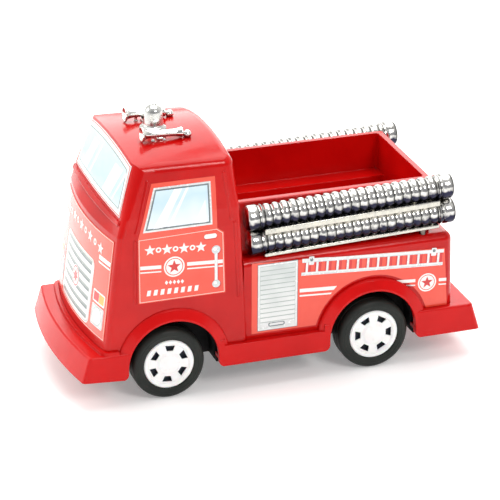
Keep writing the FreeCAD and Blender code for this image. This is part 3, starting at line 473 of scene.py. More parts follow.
pale_film = surface("pale_film", (0.84, 0.86, 0.86), (0.78, 0.81, 0.82), (0.12, 0.2), coat=0.5, mottle=70.0,
                    relief=[(700.0, 0.006)])
# Each chrome() material carries painted reflection and shade by the way its faces point.
plating = chrome("chrome_plating", (0.88, 0.88, 0.84), (0.40, 0.37, 0.37), 0.09)
hose_plating = chrome("hose_plating", (0.78, 0.77, 0.74), (0.030, 0.030, 0.055), 0.12, 0.16, 0.06, 0.55)
lamp_plating = surface("lamp_plating", (0.74, 0.74, 0.71), (0.56, 0.57, 0.55), (0.10, 0.24), metallic=0.88,
                       mottle=420.0, relief=[(420.0, 0.05), (1400.0, 0.01)])
# A darker copy of the plating: a painted shade for the rack's back plate and pegs.
painted_shade_plating = chrome("painted_shade_plating", (0.20, 0.17, 0.15), (0.03, 0.02, 0.03), 0.2)
bar_plating = surface("satin_plating", (0.60, 0.58, 0.51), (0.48, 0.47, 0.43), (0.16, 0.34), metallic=1.0,
                      mottle=500.0, relief=[(900.0, 0.03)])


def ink(name, first, second, gloss=(0.16, 0.28), metallic=0.0):
    """One printing ink, a little uneven."""
    return surface(name, first, second, gloss, coat=0.3, mottle=240.0, metallic=metallic,
                   relief=[(1800.0, 0.003)])


white_ink = ink("ink_white", (0.88, 0.87, 0.84), (0.84, 0.82, 0.79))
cream_ink = ink("ink_cream", (0.86, 0.70, 0.62), (0.84, 0.62, 0.54))
coral_ink = ink("ink_coral", CORAL, CORAL_PALE)
red_ink = ink("ink_red", (0.66, 0.022, 0.022), (0.58, 0.018, 0.018))
grey_ink = ink("ink_grey", (0.36, 0.42, 0.40), (0.46, 0.51, 0.49))
moss_ink = ink("ink_moss", (0.22, 0.28, 0.26), (0.28, 0.33, 0.31))
slate_ink = ink("ink_slate", (0.12, 0.15, 0.16), (0.17, 0.20, 0.21))
silver_ink = ink("ink_silver", (0.66, 0.68, 0.68), (0.74, 0.76, 0.76), gloss=(0.2, 0.3), metallic=0.25)
steel_ink = ink("ink_steel", (0.50, 0.55, 0.56), (0.62, 0.66, 0.67), gloss=(0.2, 0.3), metallic=0.25)
amber_ink = ink("ink_amber", (0.90, 0.44, 0.07), (0.90, 0.36, 0.05))
glare_ink = ink("ink_glare", (0.70, 0.80, 0.85), (0.66, 0.77, 0.83))
streak_ink = ink("ink_streak", (0.90, 0.93, 0.95), (0.86, 0.91, 0.95))


# ---------------------------------------------------------------- CAD nodes that are shown as they are

NODE_FINISH = {
    "body_casting": enamel, "fender_skirt": skirt_red, "base_plate": black_plastic, "base_screws": zinc,
    "windshield_foil": pale_film, "front_foil": coral_film, "door_foil": coral_film, "side_foil": coral_film,
    "hose_rack": hose_plating, "roof_beacon_unit": plating, "tyre": rubber, "hub": white_plastic,
    "axle_front": steel, "axle_rear": steel, "motor_case_left": motor_black, "motor_case_right": motor_black,
    "motor_case_screws": zinc, "motor_foot_screws": zinc, "axle_gear": acetal, "compound_gear": acetal,
    "compound_pin": steel, "drum_gear": acetal, "mainspring": blued,
}


def finish_nodes():
    """Give every CAD node its material."""
    for name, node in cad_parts.items():
        family = max((key for key in NODE_FINISH if name.startswith(key)), key=len)
        node.data.materials.clear()
        node.data.materials.append(NODE_FINISH[family])


# ---------------------------------------------------------------- smooth pieces in place of CAD nodes

def add_block(mesh, low, high, bevel):
    """Add a block with rounded edges."""
    corners = [mesh.verts.new(corner) for corner in itertools.product(*zip(low, high))]
    faces = [mesh.faces.new([corners[i] for i in ring]) for ring in (
        (0, 1, 3, 2), (4, 6, 7, 5), (0, 4, 5, 1), (2, 3, 7, 6), (0, 2, 6, 4), (1, 5, 7, 3))]
    edges = list({edge for face in faces for edge in face.edges})
    bmesh.ops.bevel(mesh, geom=edges, offset=bevel, segments=3, profile=0.5, affect="EDGES")


def placed(mesh, side, turn_degrees, shift):
    """Turn about X, shift and scale a mesh from millimetres, mirrored for side -1."""
    turn = Matrix.Rotation(math.radians(turn_degrees), 4, "X")
    bmesh.ops.transform(mesh, matrix=Matrix.Scale(MM, 4) @ Matrix.Translation(shift) @ turn, verts=mesh.verts)
    for vertex in mesh.verts:
        vertex.co.x *= side


def stand_in(parts, node):
    """Show these pieces in place of a CAD node."""
    for part in parts:
        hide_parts(node)


RACK_SHIFT = (0, -9.6, 48.45)
RACK_TILT = 2.0
RACK_LENGTH = 64.8
HOSE_X = 22.4
HOSE_RISE = 3.95
HOSE_VALLEY = 2.75
HOSE_CREST = 3.64
HOSE_RIBS = 20
RIB_STEPS = 10
GRIP = 5.2
RACK_BACK_X = 20.5
RACK_BEVEL = 0.3
PEG_OUTLINE = [(0, 0), (0, 0.8), (0.2, 0.98), (4.4, 0.98), (4.4, 0)]
PEG_X, PEG_YS, PEG_Z = 22.6, (6.0, 46.0), 37.95


def hose_profile(length):
    """A coupling, a row of full round ribs and another coupling."""
    collar = [(0.0, 0.0), (0.0, 3.0), (0.1, 3.35), (0.5, 3.75), (1.0, 3.84), (3.2, 3.84), (3.5, 3.7),
              (3.75, 3.42), (4.1, 3.42), (4.35, 3.7), (4.6, 3.8), (4.9, 3.7), (5.1, 3.3)]
    pitch = (length - 2 * GRIP) / HOSE_RIBS
    ribs = []
    for index in range(HOSE_RIBS):
        for step in range(RIB_STEPS):
            share = (step + 0.5) / RIB_STEPS
            swell = math.sqrt(1 - (2 * share - 1) ** 2)
            ribs.append((GRIP + pitch * (index + share), HOSE_VALLEY + (HOSE_CREST - HOSE_VALLEY) * swell))
    return collar + ribs + [(length - distance, radius) for distance, radius in reversed(collar)]


def make_rack(side):
    """Two ribbed hoses, two bars and the back plate with its pegs."""
    name = side_name(side)
    parts = []
    for height, start, tag in ((HOSE_RISE, 0.0, "upper"), (-HOSE_RISE, 0.5, "lower")):
        mesh = bmesh.new()
        add_turned(mesh, hose_profile(RACK_LENGTH - 0.5), (HOSE_X, start, height), (0, 1, 0))
        parts.append(rack_piece("hose_%s_%s" % (tag, name), mesh, side, hose_plating))
    front, rear = GRIP - 0.2, RACK_LENGTH - GRIP + 0.2
    bars = bmesh.new()
    add_block(bars, (RACK_BACK_X, front, -0.9), (HOSE_X + 3.3, rear, 0.9), RACK_BEVEL)
    add_block(bars, (RACK_BACK_X, front, -8.35), (HOSE_X + 2.4, rear, -7.2), RACK_BEVEL)
    parts.append(rack_piece("rack_bars_" + name, bars, side, bar_plating))
    back = bmesh.new()
    inner = RACK_BACK_X + 0.02
    add_block(back, (inner, 2.0, -6.4), (21.4, RACK_LENGTH - 2.0, 6.4), RACK_BEVEL)
    add_block(back, (inner, 6.2, -7.4), (HOSE_X, RACK_LENGTH - 6.2, -5.5), RACK_BEVEL)
    # The back plate and the pegs take the darker plating, a painted shade.
    parts.append(rack_piece("rack_back_" + name, back, side, painted_shade_plating))
    pegs = bmesh.new()
    for y in PEG_YS:
        add_turned(pegs, PEG_OUTLINE, (PEG_X, y, PEG_Z), (0, 0, 1), 32)
    placed(pegs, side, 0, (0, 0, 0))
    parts.append(finish_mesh("rack_pegs_" + name, pegs, painted_shade_plating))
    stand_in(parts, "hose_rack_" + name)


def rack_piece(name, mesh, side, material):
    """One piece of a hose rack, tilted and placed on its side of the truck."""
    placed(mesh, side, RACK_TILT, RACK_SHIFT)
    return finish_mesh(name, mesh, material)


UNIT_SHIFT = (0, -30.5, 74.5)
UNIT_PITCH = -2.5
HORN_X = 8.6
BULB_RADIUS = 1.24
BULB_STEPS = 14


def unit_piece(name, mesh, material=plating):
    """One piece of the roof unit, placed on the roof."""
    placed(mesh, 1, UNIT_PITCH, UNIT_SHIFT)
    return finish_mesh(name, mesh, material)


def make_roof_unit():
    """A domed beacon on a flared plinth with a trumpet horn on each side."""
    beacon = bmesh.new()
    outline = [(-0.6, 0), (-0.6, 4.0), (0.2, 4.08), (0.75, 3.95), (1.1, 3.6), (1.4, 3.1), (1.7, 2.95),
               (2.4, 2.92), (5.6, 2.66), (6.3, 2.45), (6.9, 1.95), (7.3, 1.35), (7.5, 0.95),
               (7.7, 0.78), (7.95, 0.68), (8.05, 0.4), (8.07, 0)]
    add_turned(beacon, rounded(outline, 2), (0, 0, 0), (0, 0, 1), 64)
    parts = [unit_piece("beacon_lamp", beacon, lamp_plating)]
    arms = bmesh.new()
    add_block(arms, (-8.8, -1.35, -0.5), (8.8, 1.35, 0.85), 0.45)
    parts.append(unit_piece("beacon_arms", arms))
    for side in (1, -1):
        parts.append(unit_piece("horn_" + side_name(side), horn_mesh(side * HORN_X)))
    peg = bmesh.new()
    add_turned(peg, [(0, 0), (0, 1.2), (0.3, 1.55), (2.2, 1.55), (2.2, 0)], (0, -30.5, 72.5), (0, 0, 1), 40)
    placed(peg, 1, 0, (0, 0, 0))
    parts.append(finish_mesh("beacon_peg", peg, plating))
    stand_in(parts, "roof_beacon_unit")


def horn_mesh(x):
    """A trumpet with a hollow flared mouth, a small bell, a bulb and two feet."""
    mesh = bmesh.new()
    outline = [(-5.0, 0), (-5.6, 0.9), (-6.15, 1.75), (-6.28, 2.05), (-6.1, 2.28), (-5.8, 2.2), (-5.4, 1.6),
               (-4.8, 1.35), (-3.8, 1.15), (-2.2, 1.05), (3.0, 1.05), (4.4, 1.15), (5.3, 1.35), (6.0, 1.55),
               (6.2, 1.25), (6.2, 0)]
    add_turned(mesh, rounded(outline, 2), (x, 0, 1.8), (0, 1, 0), 48)
    angles = [math.pi * i / BULB_STEPS for i in range(1, BULB_STEPS)]
    bulb = [(BULB_RADIUS * -math.cos(angle), BULB_RADIUS * math.sin(angle)) for angle in angles]
    bulb = [(-BULB_RADIUS, 0), *bulb, (BULB_RADIUS, 0)]
    add_turned(mesh, bulb, (x, 7.7, 1.05), (0, 1, 0), 40)
    add_turned(mesh, [(0, 0), (0, 0.54), (2.1, 0.54), (2.1, 0)], (x, 5.6, 1.7), (0, 2.0, -0.6), 24)
    for y in (-2.6, 0.8):
        add_turned(mesh, [(0, 0), (0, 0.62), (0.4, 0.5), (1.7, 0.46), (2.0, 0.6), (2.0, 0)], (x, y, -0.3),
                   (0, 0, 1), 24)
    return mesh


AXLE_Z = 11.0
# each axle's name, its Y, the angle of its hubs' first window and the body it turns with
WHEELS = (("front", -34.2, 25.0, "front_wheels"), ("rear", 29.8, 0.0, "rear_wheels"))
WINDOWS = 6
WINDOW_FLOOR_X = 24.25
WINDOW_DEPTH = 1.2
WINDOW_SHADE_WALL = 0.04
WINDOW_CORNERS = ((-0.92, 4.03), (0.92, 4.03), (1.51, 5.72), (-1.51, 5.72))


def make_tyre(place, axle_y, body, side):
    """A tyre with soft shoulders, a raised sidewall ring and two shallow tread grooves."""
    name = "tyre_%s_%s" % (place, side_name(side))
    outline = [(19.3, 7.63), (18.85, 8.3), (18.82, 9.3), (19.1, 10.3), (19.8, 10.9), (20.4, 10.98),
               (21.5, 10.98), (21.62, 10.8), (21.9, 10.8), (22.02, 10.98), (23.3, 10.98), (23.42, 10.8),
               (23.7, 10.8), (23.82, 10.98), (24.8, 10.97), (25.5, 10.85), (26.05, 10.4), (26.35, 9.75),
               (26.3, 9.45), (26.42, 9.3), (26.42, 9.05), (26.3, 8.9), (26.36, 8.5), (26.2, 7.9),
               (25.9, 7.63)]
    closed = rounded(outline, 1, 0.2)
    mesh = bmesh.new()
    rings = add_turned(mesh, closed, (0, axle_y, AXLE_Z), (1, 0, 0), 96)
    join_rings(mesh, rings[-1], rings[0])
    placed(mesh, side, 0, (0, 0, 0))
    stand_in([finish_mesh(name + "_smooth", mesh, rubber, body)], name)


def shade_windows(place, axle_y, first_angle, body, side):
    """A painted shade inside each of the hub's windows: a dark sheet with a floor and walls."""
    mesh = bmesh.new()
    centre = Vector((WINDOW_FLOOR_X, axle_y, AXLE_Z))
    rise = Vector((WINDOW_DEPTH, 0, 0))
    for index in range(WINDOWS):
        angle = math.radians(first_angle + 360 / WINDOWS * index)
        outward = Vector((0, math.cos(angle), math.sin(angle)))
        across = Vector((0, -math.sin(angle), math.cos(angle)))
        floor = [centre + outward * reach + across * offset for offset, reach in WINDOW_CORNERS]
        rim = [point + rise for point in floor]
        middle = sum(floor, Vector()) / len(floor)
        inner_rim = [point + (middle + rise - point).normalized() * WINDOW_SHADE_WALL for point in rim]
        inner_floor = [point + (middle - point).normalized() * WINDOW_SHADE_WALL + Vector((WINDOW_SHADE_WALL, 0, 0))
                       for point in floor]
        rings = [[mesh.verts.new(point) for point in ring] for ring in (floor, rim, inner_rim, inner_floor)]
        for first, second in zip(rings, rings[1:]):
            join_rings(mesh, first, second)
        mesh.faces.new(rings[0])
        mesh.faces.new(rings[-1])
    placed(mesh, side, 0, (0, 0, 0))
    finish_mesh("hub_shade_%s_%s" % (place, side_name(side)), mesh, painted_window_shade, body)


def make_smooth_pieces():
    """Every piece that stands in for a CAD node."""
    make_roof_unit()
    for side in (1, -1):
        make_rack(side)
        for place, axle_y, first_angle, body in WHEELS:
            make_tyre(place, axle_y, body, side)
            shade_windows(place, axle_y, first_angle, body, side)


# ---------------------------------------------------------------- artwork

LINE_WIDTH = 0.16


def star_row(places, radius, ring, hole):
    """Stars and rings in turn, one at each place."""
    shapes = []
    for index, (a, b) in enumerate(places):
        if index % 2 == 0:
            shapes += star(a, b, radius)
        else:
            shapes += band(disc(a, b, ring, 20), disc(a, b, hole, 20))
    return shapes


def print_roundel(tag, foil, a, b, radius, ring, hole, tips):
    """A white disc with a thin ring round a star."""
    printed(tag + "roundel", foil, [disc(a, b, radius)], white_ink, 1)
    printed(tag + "roundel_ring", foil, band(disc(a, b, ring), disc(a, b, hole)), coral_ink, 2)
    printed(tag + "roundel_star", foil, star(a, b, tips), red_ink, 2)


def print_door(side):
    """Window, stripes, emblem and grab bar on one door. Millimetres along the truck and up."""
    name = side_name(side)
    foil = Foil("door_foil_" + name, (side, 0, 0))
    tag = "door_%s_" % name
    print_door_window(tag, foil, name)
    edge = [(-42.9, 31.9), (-17.2, 31.9), (-17.6, 50.5), (-19.5, 51.9), (-42.9, 51.4)]
    printed(tag + "panel_edge", foil, band(edge, shrunk(edge, LINE_WIDTH)), cream_ink, 1)
    printed(tag + "handle_shadow", foil, [rounded_rect(-23.5, -19.3, 48.9, 50.5, 0.75)], red_ink, 1)
    printed(tag + "handle", foil, [rounded_rect(-23.3, -19.5, 49.2, 50.6, 0.65)], white_ink, 2)
    print_door_emblem(tag, foil)
    print_grab_bar(tag, foil)


def print_door_window(tag, foil, name):
    """A door's glass in its silver frame, with slanted streaks."""
    sky = gradient_print("glass_print_" + name, 53 * MM, foil.high.z, [
        (0.84, 0.89, 0.92), (0.71, 0.82, 0.90), (0.56, 0.74, 0.88), (0.70, 0.82, 0.89)], coat=0.2)
    surround = [(-42.6, 52.7), (-20.0, 52.7), (-20.0, 66.9), (-38.3, 66.9)]
    frame_outer = shrunk(surround, 0.75)
    frame_inner = shrunk(frame_outer, 0.75)
    glass = shrunk(frame_inner, 0.25)
    printed(tag + "window_frame", foil, band(frame_outer, frame_inner), silver_ink, 1)
    printed(tag + "window_line", foil, band(shrunk(frame_outer, 0.55), glass), slate_ink, 2)
    printed(tag + "window_glass", foil, [glass], sky, 1)
    streaks = [[(-38.6, 54.3), (-35.6, 54.3), (-29.2, 65.2), (-31.6, 65.2)],
               [(-34.4, 54.3), (-33.4, 54.3), (-27.2, 65.2), (-28.0, 65.2)],
               [(-26.2, 54.3), (-22.6, 54.3), (-22.6, 61.0)]]
    printed(tag + "window_streaks", foil, streaks, streak_ink, 2)


def print_door_emblem(tag, foil):
    """A roundel with a star between stripes, under and over rows of plain ornament."""
    centre_a, centre_b = -32.4, 41.9
    start, pitch, slope = -39.6, 2.55, 0.065
    row = [start + pitch * index for index in range(7)]
    ornaments = star_row([(a, 47.9 - slope * (a - start)) for a in row], 1.75, 0.85, 0.4)
    printed(tag + "star_row", foil, ornaments, white_ink, 1)
    stripes = [[(-42.6, 43.3), (-36.3, 42.9), (-36.3, 41.8), (-42.6, 42.2)],
               [(-42.6, 41.5), (-36.3, 41.1), (-36.3, 40.7), (-42.6, 41.1)],
               [(-28.5, 42.7), (-17.7, 42.1), (-17.7, 41.0), (-28.5, 41.6)],
               [(-28.5, 40.9), (-17.7, 40.3), (-17.7, 39.9), (-28.5, 40.5)]]
    printed(tag + "stripes", foil, stripes, white_ink, 1)
    print_roundel(tag, foil, centre_a, centre_b, 3.15, 2.7, 2.45, 2.1)
    dots = [diamond(centre_a - 2.4 + 1.2 * i, 37.2 - 0.06 * i, 0.5, 0.7) for i in range(5)]
    printed(tag + "dot_row", foil, dots, white_ink, 1)
    bars = []
    for index in range(8):
        a = -40.2 + 2.05 * index
        b = 34.6 - 0.05 * index
        bars.append([(a - 0.62, b - 0.85), (a + 0.48, b - 0.85), (a + 0.8, b + 0.85), (a - 0.3, b + 0.85)])
    printed(tag + "bar_row", foil, bars, white_ink, 1)


def print_grab_bar(tag, foil):
    """A printed grab bar with a knob at each end."""
    a, top, bottom = -19.75, 45.5, 34.8
    shadow = [rect(a - 0.15, a + 0.75, bottom, top), disc(a + 0.3, bottom - 0.25, 1.3),
              disc(a + 0.3, top - 0.25, 1.35)]
    glints = [disc(a - 0.3, top + 0.3, 0.55), disc(a - 0.3, bottom + 0.3, 0.5),
              rect(a - 0.18, a + 0.08, bottom + 1.2, top - 1.4)]
    printed(tag + "grab_shadow", foil, shadow, red_ink, 1)
    printed(tag + "grab_bar", foil, [rect(a - 0.45, a + 0.45, bottom, top)], silver_ink, 2)
    printed(tag + "grab_knobs", foil, [disc(a, top, 1.3), disc(a, bottom, 1.2)], steel_ink, 3)
    printed(tag + "grab_glints", foil, glints, white_ink, 4)


def print_side(side):
    """Roller shutter, ladder, stripes and roundel on one flank."""
    foil = Foil("side_foil_" + side_name(side), (side, 0, 0))
    tag = "side_%s_" % side_name(side)
    print_shutter(tag, foil)
    print_ladder(tag, foil)
    stripes = [[(6.3, 29.0), (18.0, 28.3), (17.0, 27.2), (6.3, 27.85)],
               [(6.3, 27.0), (16.4, 26.4), (16.0, 25.9), (6.3, 26.5)],
               [(36.5, 27.4), (43.0, 26.9), (43.0, 25.9), (38.1, 26.3)],
               [(39.0, 25.4), (43.0, 25.1), (43.0, 24.7), (39.5, 25.0)],
               [(50.6, 26.1), (53.0, 25.9), (53.0, 24.9), (50.6, 25.1)],
               [(50.6, 24.3), (53.0, 24.1), (53.0, 23.7), (50.6, 23.9)]]
    printed(tag + "stripes", foil, stripes, white_ink, 1)
    print_roundel(tag, foil, 46.8, 25.3, 2.95, 2.5, 2.28, 1.95)


def print_shutter(tag, foil):
    """A roller shutter of thin slats in a silver frame, with a slotted handle."""
    low, high = 17.4, 38.7
    outer = rect(-6.8, 5.7, low - 0.3, high - 0.2)
    inner = shrunk(outer, 0.75)
    printed(tag + "shutter_frame", foil, band(outer, inner), silver_ink, 1)
    printed(tag + "shutter_gap", foil, [inner], grey_ink, 0)
    printed(tag + "shutter_edge", foil, band(outer, shrunk(outer, 0.14)), slate_ink, 2)
    slats, slat_gap, foot = 12, 0.3, 1.9
    (left, bottom), (right, _), (_, top), _ = inner
    left, right = left + 0.12, right - 0.12
    base = bottom + foot
    pitch = (top - bottom - foot) / slats
    rows = [rect(left, right, base + pitch * index + slat_gap / 2, base + pitch * (index + 1) - slat_gap / 2)
            for index in range(slats)]
    sheen = gradient_print(tag + "shutter_print", low * MM, high * MM, [
        (0.80, 0.82, 0.81), (0.72, 0.75, 0.74), (0.58, 0.62, 0.61)], coat=0.12, cloud=0.3, roughness=0.3)
    printed(tag + "shutter_slats", foil, rows, sheen, 1)
    printed(tag + "shutter_foot", foil, [rect(left, right, bottom + 0.1, base - 0.1)], silver_ink, 1)
    a = (left + right) / 2 - 0.3
    b = bottom + foot / 2
    printed(tag + "shutter_handle", foil, [rounded_rect(a - 2.6, a + 2.6, b - 0.65, b + 0.65, 0.6)],
            slate_ink, 2)
    printed(tag + "shutter_slot", foil, [rounded_rect(a - 2.2, a + 2.2, b - 0.3, b + 0.4, 0.3)],
            silver_ink, 3)


def print_ladder(tag, foil):
    """A ladder that slopes gently down to the rear, with a clamp near each end."""
    start, end = 7.0, 52.0
    rungs = 14

    def draw(name, shapes, ink_used, layer):
        printed(tag + name, foil, tilted(shapes, -3.7, (start, 38.0)), ink_used, layer)

    bars, shades = [], []
    for index in range(rungs):
        a = start + (end - start) * (index + 0.5) / rungs
        bars.append(rect(a - 0.34, a + 0.34, 34.2, 37.3))
        shades.append(rect(a + 0.34, a + 1.3, 34.2, 37.3))
        shades.append(rect(a - 0.7, a - 0.34, 34.2, 37.3))
    draw("ladder_shades", shades, red_ink, 1)
    draw("ladder_rungs", bars, silver_ink, 2)
    draw("ladder_rails", [rect(start, end, 37.3, 38.4), rect(start, end, 33.2, 34.2)], silver_ink, 3)
    draw("ladder_lines", [rect(start, end, 37.3, 37.5), rect(start, end, 33.4, 33.6)], steel_ink, 4)
    clamps = (start + 2.9, end - 3.2)
    draw("ladder_clamps", [rounded_rect(a - 0.8, a + 0.8, 36.5, 39.0, 0.3) for a in clamps], silver_ink, 5)
    draw("ladder_jaws", [disc(a, 38.1, 0.5, 16) for a in clamps], slate_ink, 6)


def print_windshield():
    """Silver surround, pale glass and soft white streaks."""
    foil = Foil("windshield_foil", (0, -1, 0))
    low, high = foil.low.z / MM, foil.high.z / MM
    margin = 0.2
    half = 22.2
    step = 2.5
    crown_diameter = 241
    outline = [(-half, low + margin), (half, low + margin)]
    outline += [(step * i, high - margin - (step * i) ** 2 / crown_diameter) for i in range(8, -9, -1)]
    inner = shrunk(outline, 1.5)
    glass = shrunk(inner, 0.35)
    printed("windshield_line", foil, band(inner, glass), moss_ink, 1)
    sky = gradient_print("windshield_print", foil.low.z, foil.high.z, [
        (0.62, 0.76, 0.82), (0.48, 0.66, 0.76), (0.54, 0.71, 0.80), (0.62, 0.76, 0.83)], coat=0.1)
    printed("windshield_glass", foil, [glass], sky, 1)
    base, top = low + 2.3, high - 4.2
    lean = 2.5
    streaks = [[(start - lean, base), (start + width - lean, base), (start + width + lean, top),
                (start + lean, top)] for start, width in ((-14.0, 5.0), (-6.5, 1.2), (7.5, 6.5), (16.0, 1.0))]
    printed("windshield_streaks", foil, streaks, glare_ink, 2)
    printed("windshield_rim", foil, band(outline, shrunk(outline, 0.25)), coral_ink, 1)


def print_front():
    """Grille, lamps, stripes and ornament on the front panel."""
    foil = Foil("front_foil", (0, -1, 0))
    print_grille(foil)
    row = [-16.0 + 4.0 * index for index in range(9)]
    ornaments = star_row([(a, 47.2 - 0.004 * a * a) for a in row], 1.9, 1.0, 0.45)
    printed("front_star_row", foil, ornaments, white_ink, 1)
    for side in (1, -1):
        stripes = [rect(15.9, 23.0, 43.0, 44.3), rect(15.9, 23.0, 41.9, 42.4)]
        stripes = [[(side * a, b) for a, b in outline] for outline in stripes]
        printed("front_stripes_" + side_name(side), foil, stripes, white_ink, 1)
        print_lamps(foil, side)
    edge = [(-23.9, 20.6), (23.9, 20.6), (23.2, 50.7), (-23.2, 50.7)]
    printed("front_edge", foil, band(edge, shrunk(edge, LINE_WIDTH)), cream_ink, 1)


def print_grille(foil):
    """A white grille with dark slots and a round emblem."""
    low, high, half = 21.2, 41.2, 13.6
    outline = rounded_rect(-half, half, low, high, 2.2)
    printed("grille_panel", foil, [outline], white_ink, 1)
    printed("grille_rim", foil, band(shrunk(outline, 0.35), shrunk(outline, 0.65)), grey_ink, 2)
    count = 7
    heights = [low + 2.0 + (high - low - 3.4) * index / (count - 1) for index in range(count)]
    slots = [rounded_rect(-half + 1.7, half - 1.7, b - 0.75, b + 0.6, 0.4) for b in heights]
    shades = [rect(-half + 2.2, half - 2.2, b - 0.6, b - 0.1) for b in heights]
    printed("grille_slots", foil, slots, moss_ink, 2)
    printed("grille_shades", foil, shades, slate_ink, 3)
    middle = (low + high) / 2
    printed("grille_emblem", foil, [disc(0, middle, 3.3)], silver_ink, 4)
    printed("grille_emblem_ring", foil, band(disc(0, middle, 3.0), disc(0, middle, 2.65)), red_ink, 5)
    printed("grille_emblem_star", foil, star(0, middle, 2.3, points=8, inner=0.5), red_ink, 5)


def print_lamps(foil, side):
    """An indicator over a square headlight, beside the grille."""
    def at(outline):
        return [(side * a, b) for a, b in outline]

    def draw(kind, outline, ink_used, layer):
        printed(kind + side_name(side), foil, [at(outline)], ink_used, layer)

    draw("indicator_rim_", rounded_rect(15.0, 22.4, 29.9, 33.6, 0.5), white_ink, 1)
    draw("indicator_lens_", rect(15.5, 18.8, 30.4, 33.1), red_ink, 2)
    draw("indicator_amber_", rect(19.0, 21.9, 30.4, 33.1), amber_ink, 2)
    lamp_a, lamp_b = 18.7, 26.1
    lamp = rounded_rect(15.0, 22.4, 22.9, 29.3, 0.6)
    draw("headlight_rim_", lamp, silver_ink, 1)
    printed("headlight_line_" + side_name(side), foil, band(at(shrunk(lamp, 0.3)), at(shrunk(lamp, 0.5))),
            grey_ink, 2)
    draw("headlight_glass_", disc(lamp_a, lamp_b, 2.55), streak_ink, 2)
    printed("headlight_ring_" + side_name(side), foil,
            band(at(disc(lamp_a, lamp_b, 2.75)), at(disc(lamp_a, lamp_b, 2.5))), grey_ink, 3)
    flutes = [rect(lamp_a + 0.8 * i - 0.08, lamp_a + 0.8 * i + 0.08, 24.3, 27.9) for i in (-2, -1, 0, 1, 2)]
    printed("headlight_flutes_" + side_name(side), foil, [at(flute) for flute in flutes], steel_ink, 4)


# ---------------------------------------------------------------- camera, light and floor

VIEW_AZIMUTH = math.radians(70.84)
VIEW_ELEVATION = math.radians(23.87)
VIEW_ROLL = math.radians(0.305)
VIEW_TARGET = Vector((0.0084, -0.0033, 0.0357))
VIEW_DISTANCE = 0.8
VIEW_LENS = 193.92
NEAR_CLIP = 0.05

# each light's name, place, size, power and colour
LIGHTS = (("key_front", (-0.45, -0.85, 0.55), 0.7, 4.0, (1.0, 0.98, 0.94)),
          ("top_soft", (-0.25, 0.1, 0.95), 0.9, 7.5, (1.0, 0.99, 0.97)),
          ("fill_side", (0.85, 0.25, 0.75), 0.35, 4.2, (1.0, 0.985, 0.96)),
          ("window_behind", (-1.0, 0.36, 0.52), 0.8, 4.2, (1.0, 0.99, 0.98)))
LIGHT_AIM = Vector((0, 0, 0.035))

ROOM_PALE = (1.0, 0.99, 0.97, 1)
ROOM_DIM = (0.32, 0.32, 0.34, 1)
ROOM_TURN = (-0.2, 0.85)
ROOM_STRENGTH = 0.95
FLOOR_HALF = 2.5
FLOOR_GLOW = 0.22


def make_camera():
    """A long lens on the truck's front left quarter."""
    sin_a, cos_a = math.sin(VIEW_AZIMUTH), math.cos(VIEW_AZIMUTH)
    sin_e, cos_e = math.sin(VIEW_ELEVATION), math.cos(VIEW_ELEVATION)
    back = Vector((sin_a * cos_e, -cos_a * cos_e, sin_e))
    level = Vector((cos_a, sin_a, 0))
    lift = back.cross(level)
    right = level * math.cos(VIEW_ROLL) + lift * math.sin(VIEW_ROLL)
    up = back.cross(right)
    data = bpy.data.cameras.new("camera")
    data.lens = VIEW_LENS
    data.clip_start = NEAR_CLIP
    camera = bpy.data.objects.new("camera", data)
    bpy.context.scene.collection.objects.link(camera)
    place = Matrix((right, up, back)).transposed().to_4x4()
    place.translation = VIEW_TARGET + back * VIEW_DISTANCE
    camera.matrix_world = place
    bpy.context.scene.camera = camera


def make_lights():
    """A soft key at the front, a top light, a fill and a bright window behind, mirrored in the roof."""
    for name, place, size, power, colour in LIGHTS:
        data = bpy.data.lights.new(name, "AREA")
        data.size = size
        data.energy = power
        data.color = colour
        light = bpy.data.objects.new(name, data)
        bpy.context.scene.collection.objects.link(light)
        turn = (LIGHT_AIM - Vector(place)).to_track_quat("-Z", "Y")
        light.matrix_world = Matrix.Translation(place) @ turn.to_matrix().to_4x4()


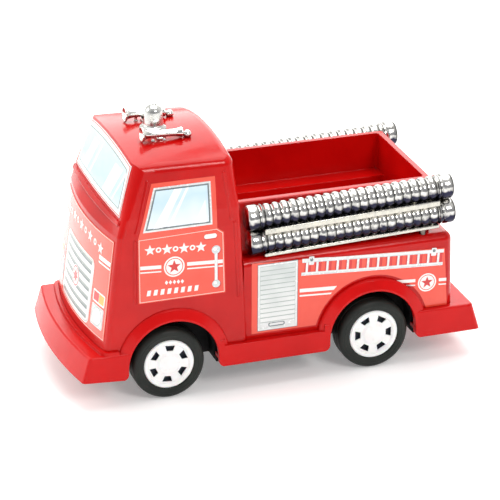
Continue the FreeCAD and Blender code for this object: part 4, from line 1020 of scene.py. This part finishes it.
def make_world():
    """A pale room that is darker behind the camera, so that plating has something to mirror."""
    world = bpy.data.worlds.new("room")
    bpy.context.scene.world = world
    world.use_nodes = True
    tree = world.node_tree
    tree.nodes.clear()
    output = tree.nodes.new("ShaderNodeOutputWorld")
    background = tree.nodes.new("ShaderNodeBackground")
    place = tree.nodes.new("ShaderNodeTexCoord")
    split = tree.nodes.new("ShaderNodeSeparateXYZ")
    side = tree.nodes.new("ShaderNodeMapRange")
    ramp = tree.nodes.new("ShaderNodeValToRGB")
    tree.links.new(place.outputs["Generated"], split.inputs[0])
    tree.links.new(split.outputs["X"], side.inputs["Value"])
    side.inputs["From Min"].default_value, side.inputs["From Max"].default_value = ROOM_TURN
    tree.links.new(side.outputs["Result"], ramp.inputs["Fac"])
    ramp.color_ramp.elements[0].color = ROOM_PALE
    ramp.color_ramp.elements[1].color = ROOM_DIM
    tree.links.new(ramp.outputs["Color"], background.inputs["Color"])
    background.inputs["Strength"].default_value = ROOM_STRENGTH
    tree.links.new(background.outputs[0], output.inputs["Surface"])


def make_floor():
    """A plain pale floor."""
    mesh = bmesh.new()
    corners = ((-1, -1), (1, -1), (1, 1), (-1, 1))
    mesh.faces.new([mesh.verts.new((x * FLOOR_HALF, y * FLOOR_HALF, 0)) for x, y in corners])
    bmesh.ops.subdivide_edges(mesh, edges=mesh.edges[:], cuts=3, use_grid_fill=True)
    data = bpy.data.meshes.new("floor")
    mesh.to_mesh(data)
    mesh.free()
    floor = bpy.data.objects.new("floor", data)
    bpy.context.scene.collection.objects.link(floor)
    paper = surface("floor_paper", (0.92, 0.92, 0.92), (0.90, 0.90, 0.90), (0.6, 0.75), mottle=6.0,
                    Emission_Color=(1, 1, 1, 1), Emission_Strength=FLOOR_GLOW)
    data.materials.append(paper)


# ---------------------------------------------------------------- assembly

def build():
    """Everything, in order."""
    finish_nodes()
    make_smooth_pieces()
    for side in (1, -1):
        print_door(side)
        print_side(side)
    print_windshield()
    print_front()
    make_camera()
    make_lights()
    make_world()
    make_floor()
    bpy.context.scene.view_settings.view_transform = "Standard"


build()
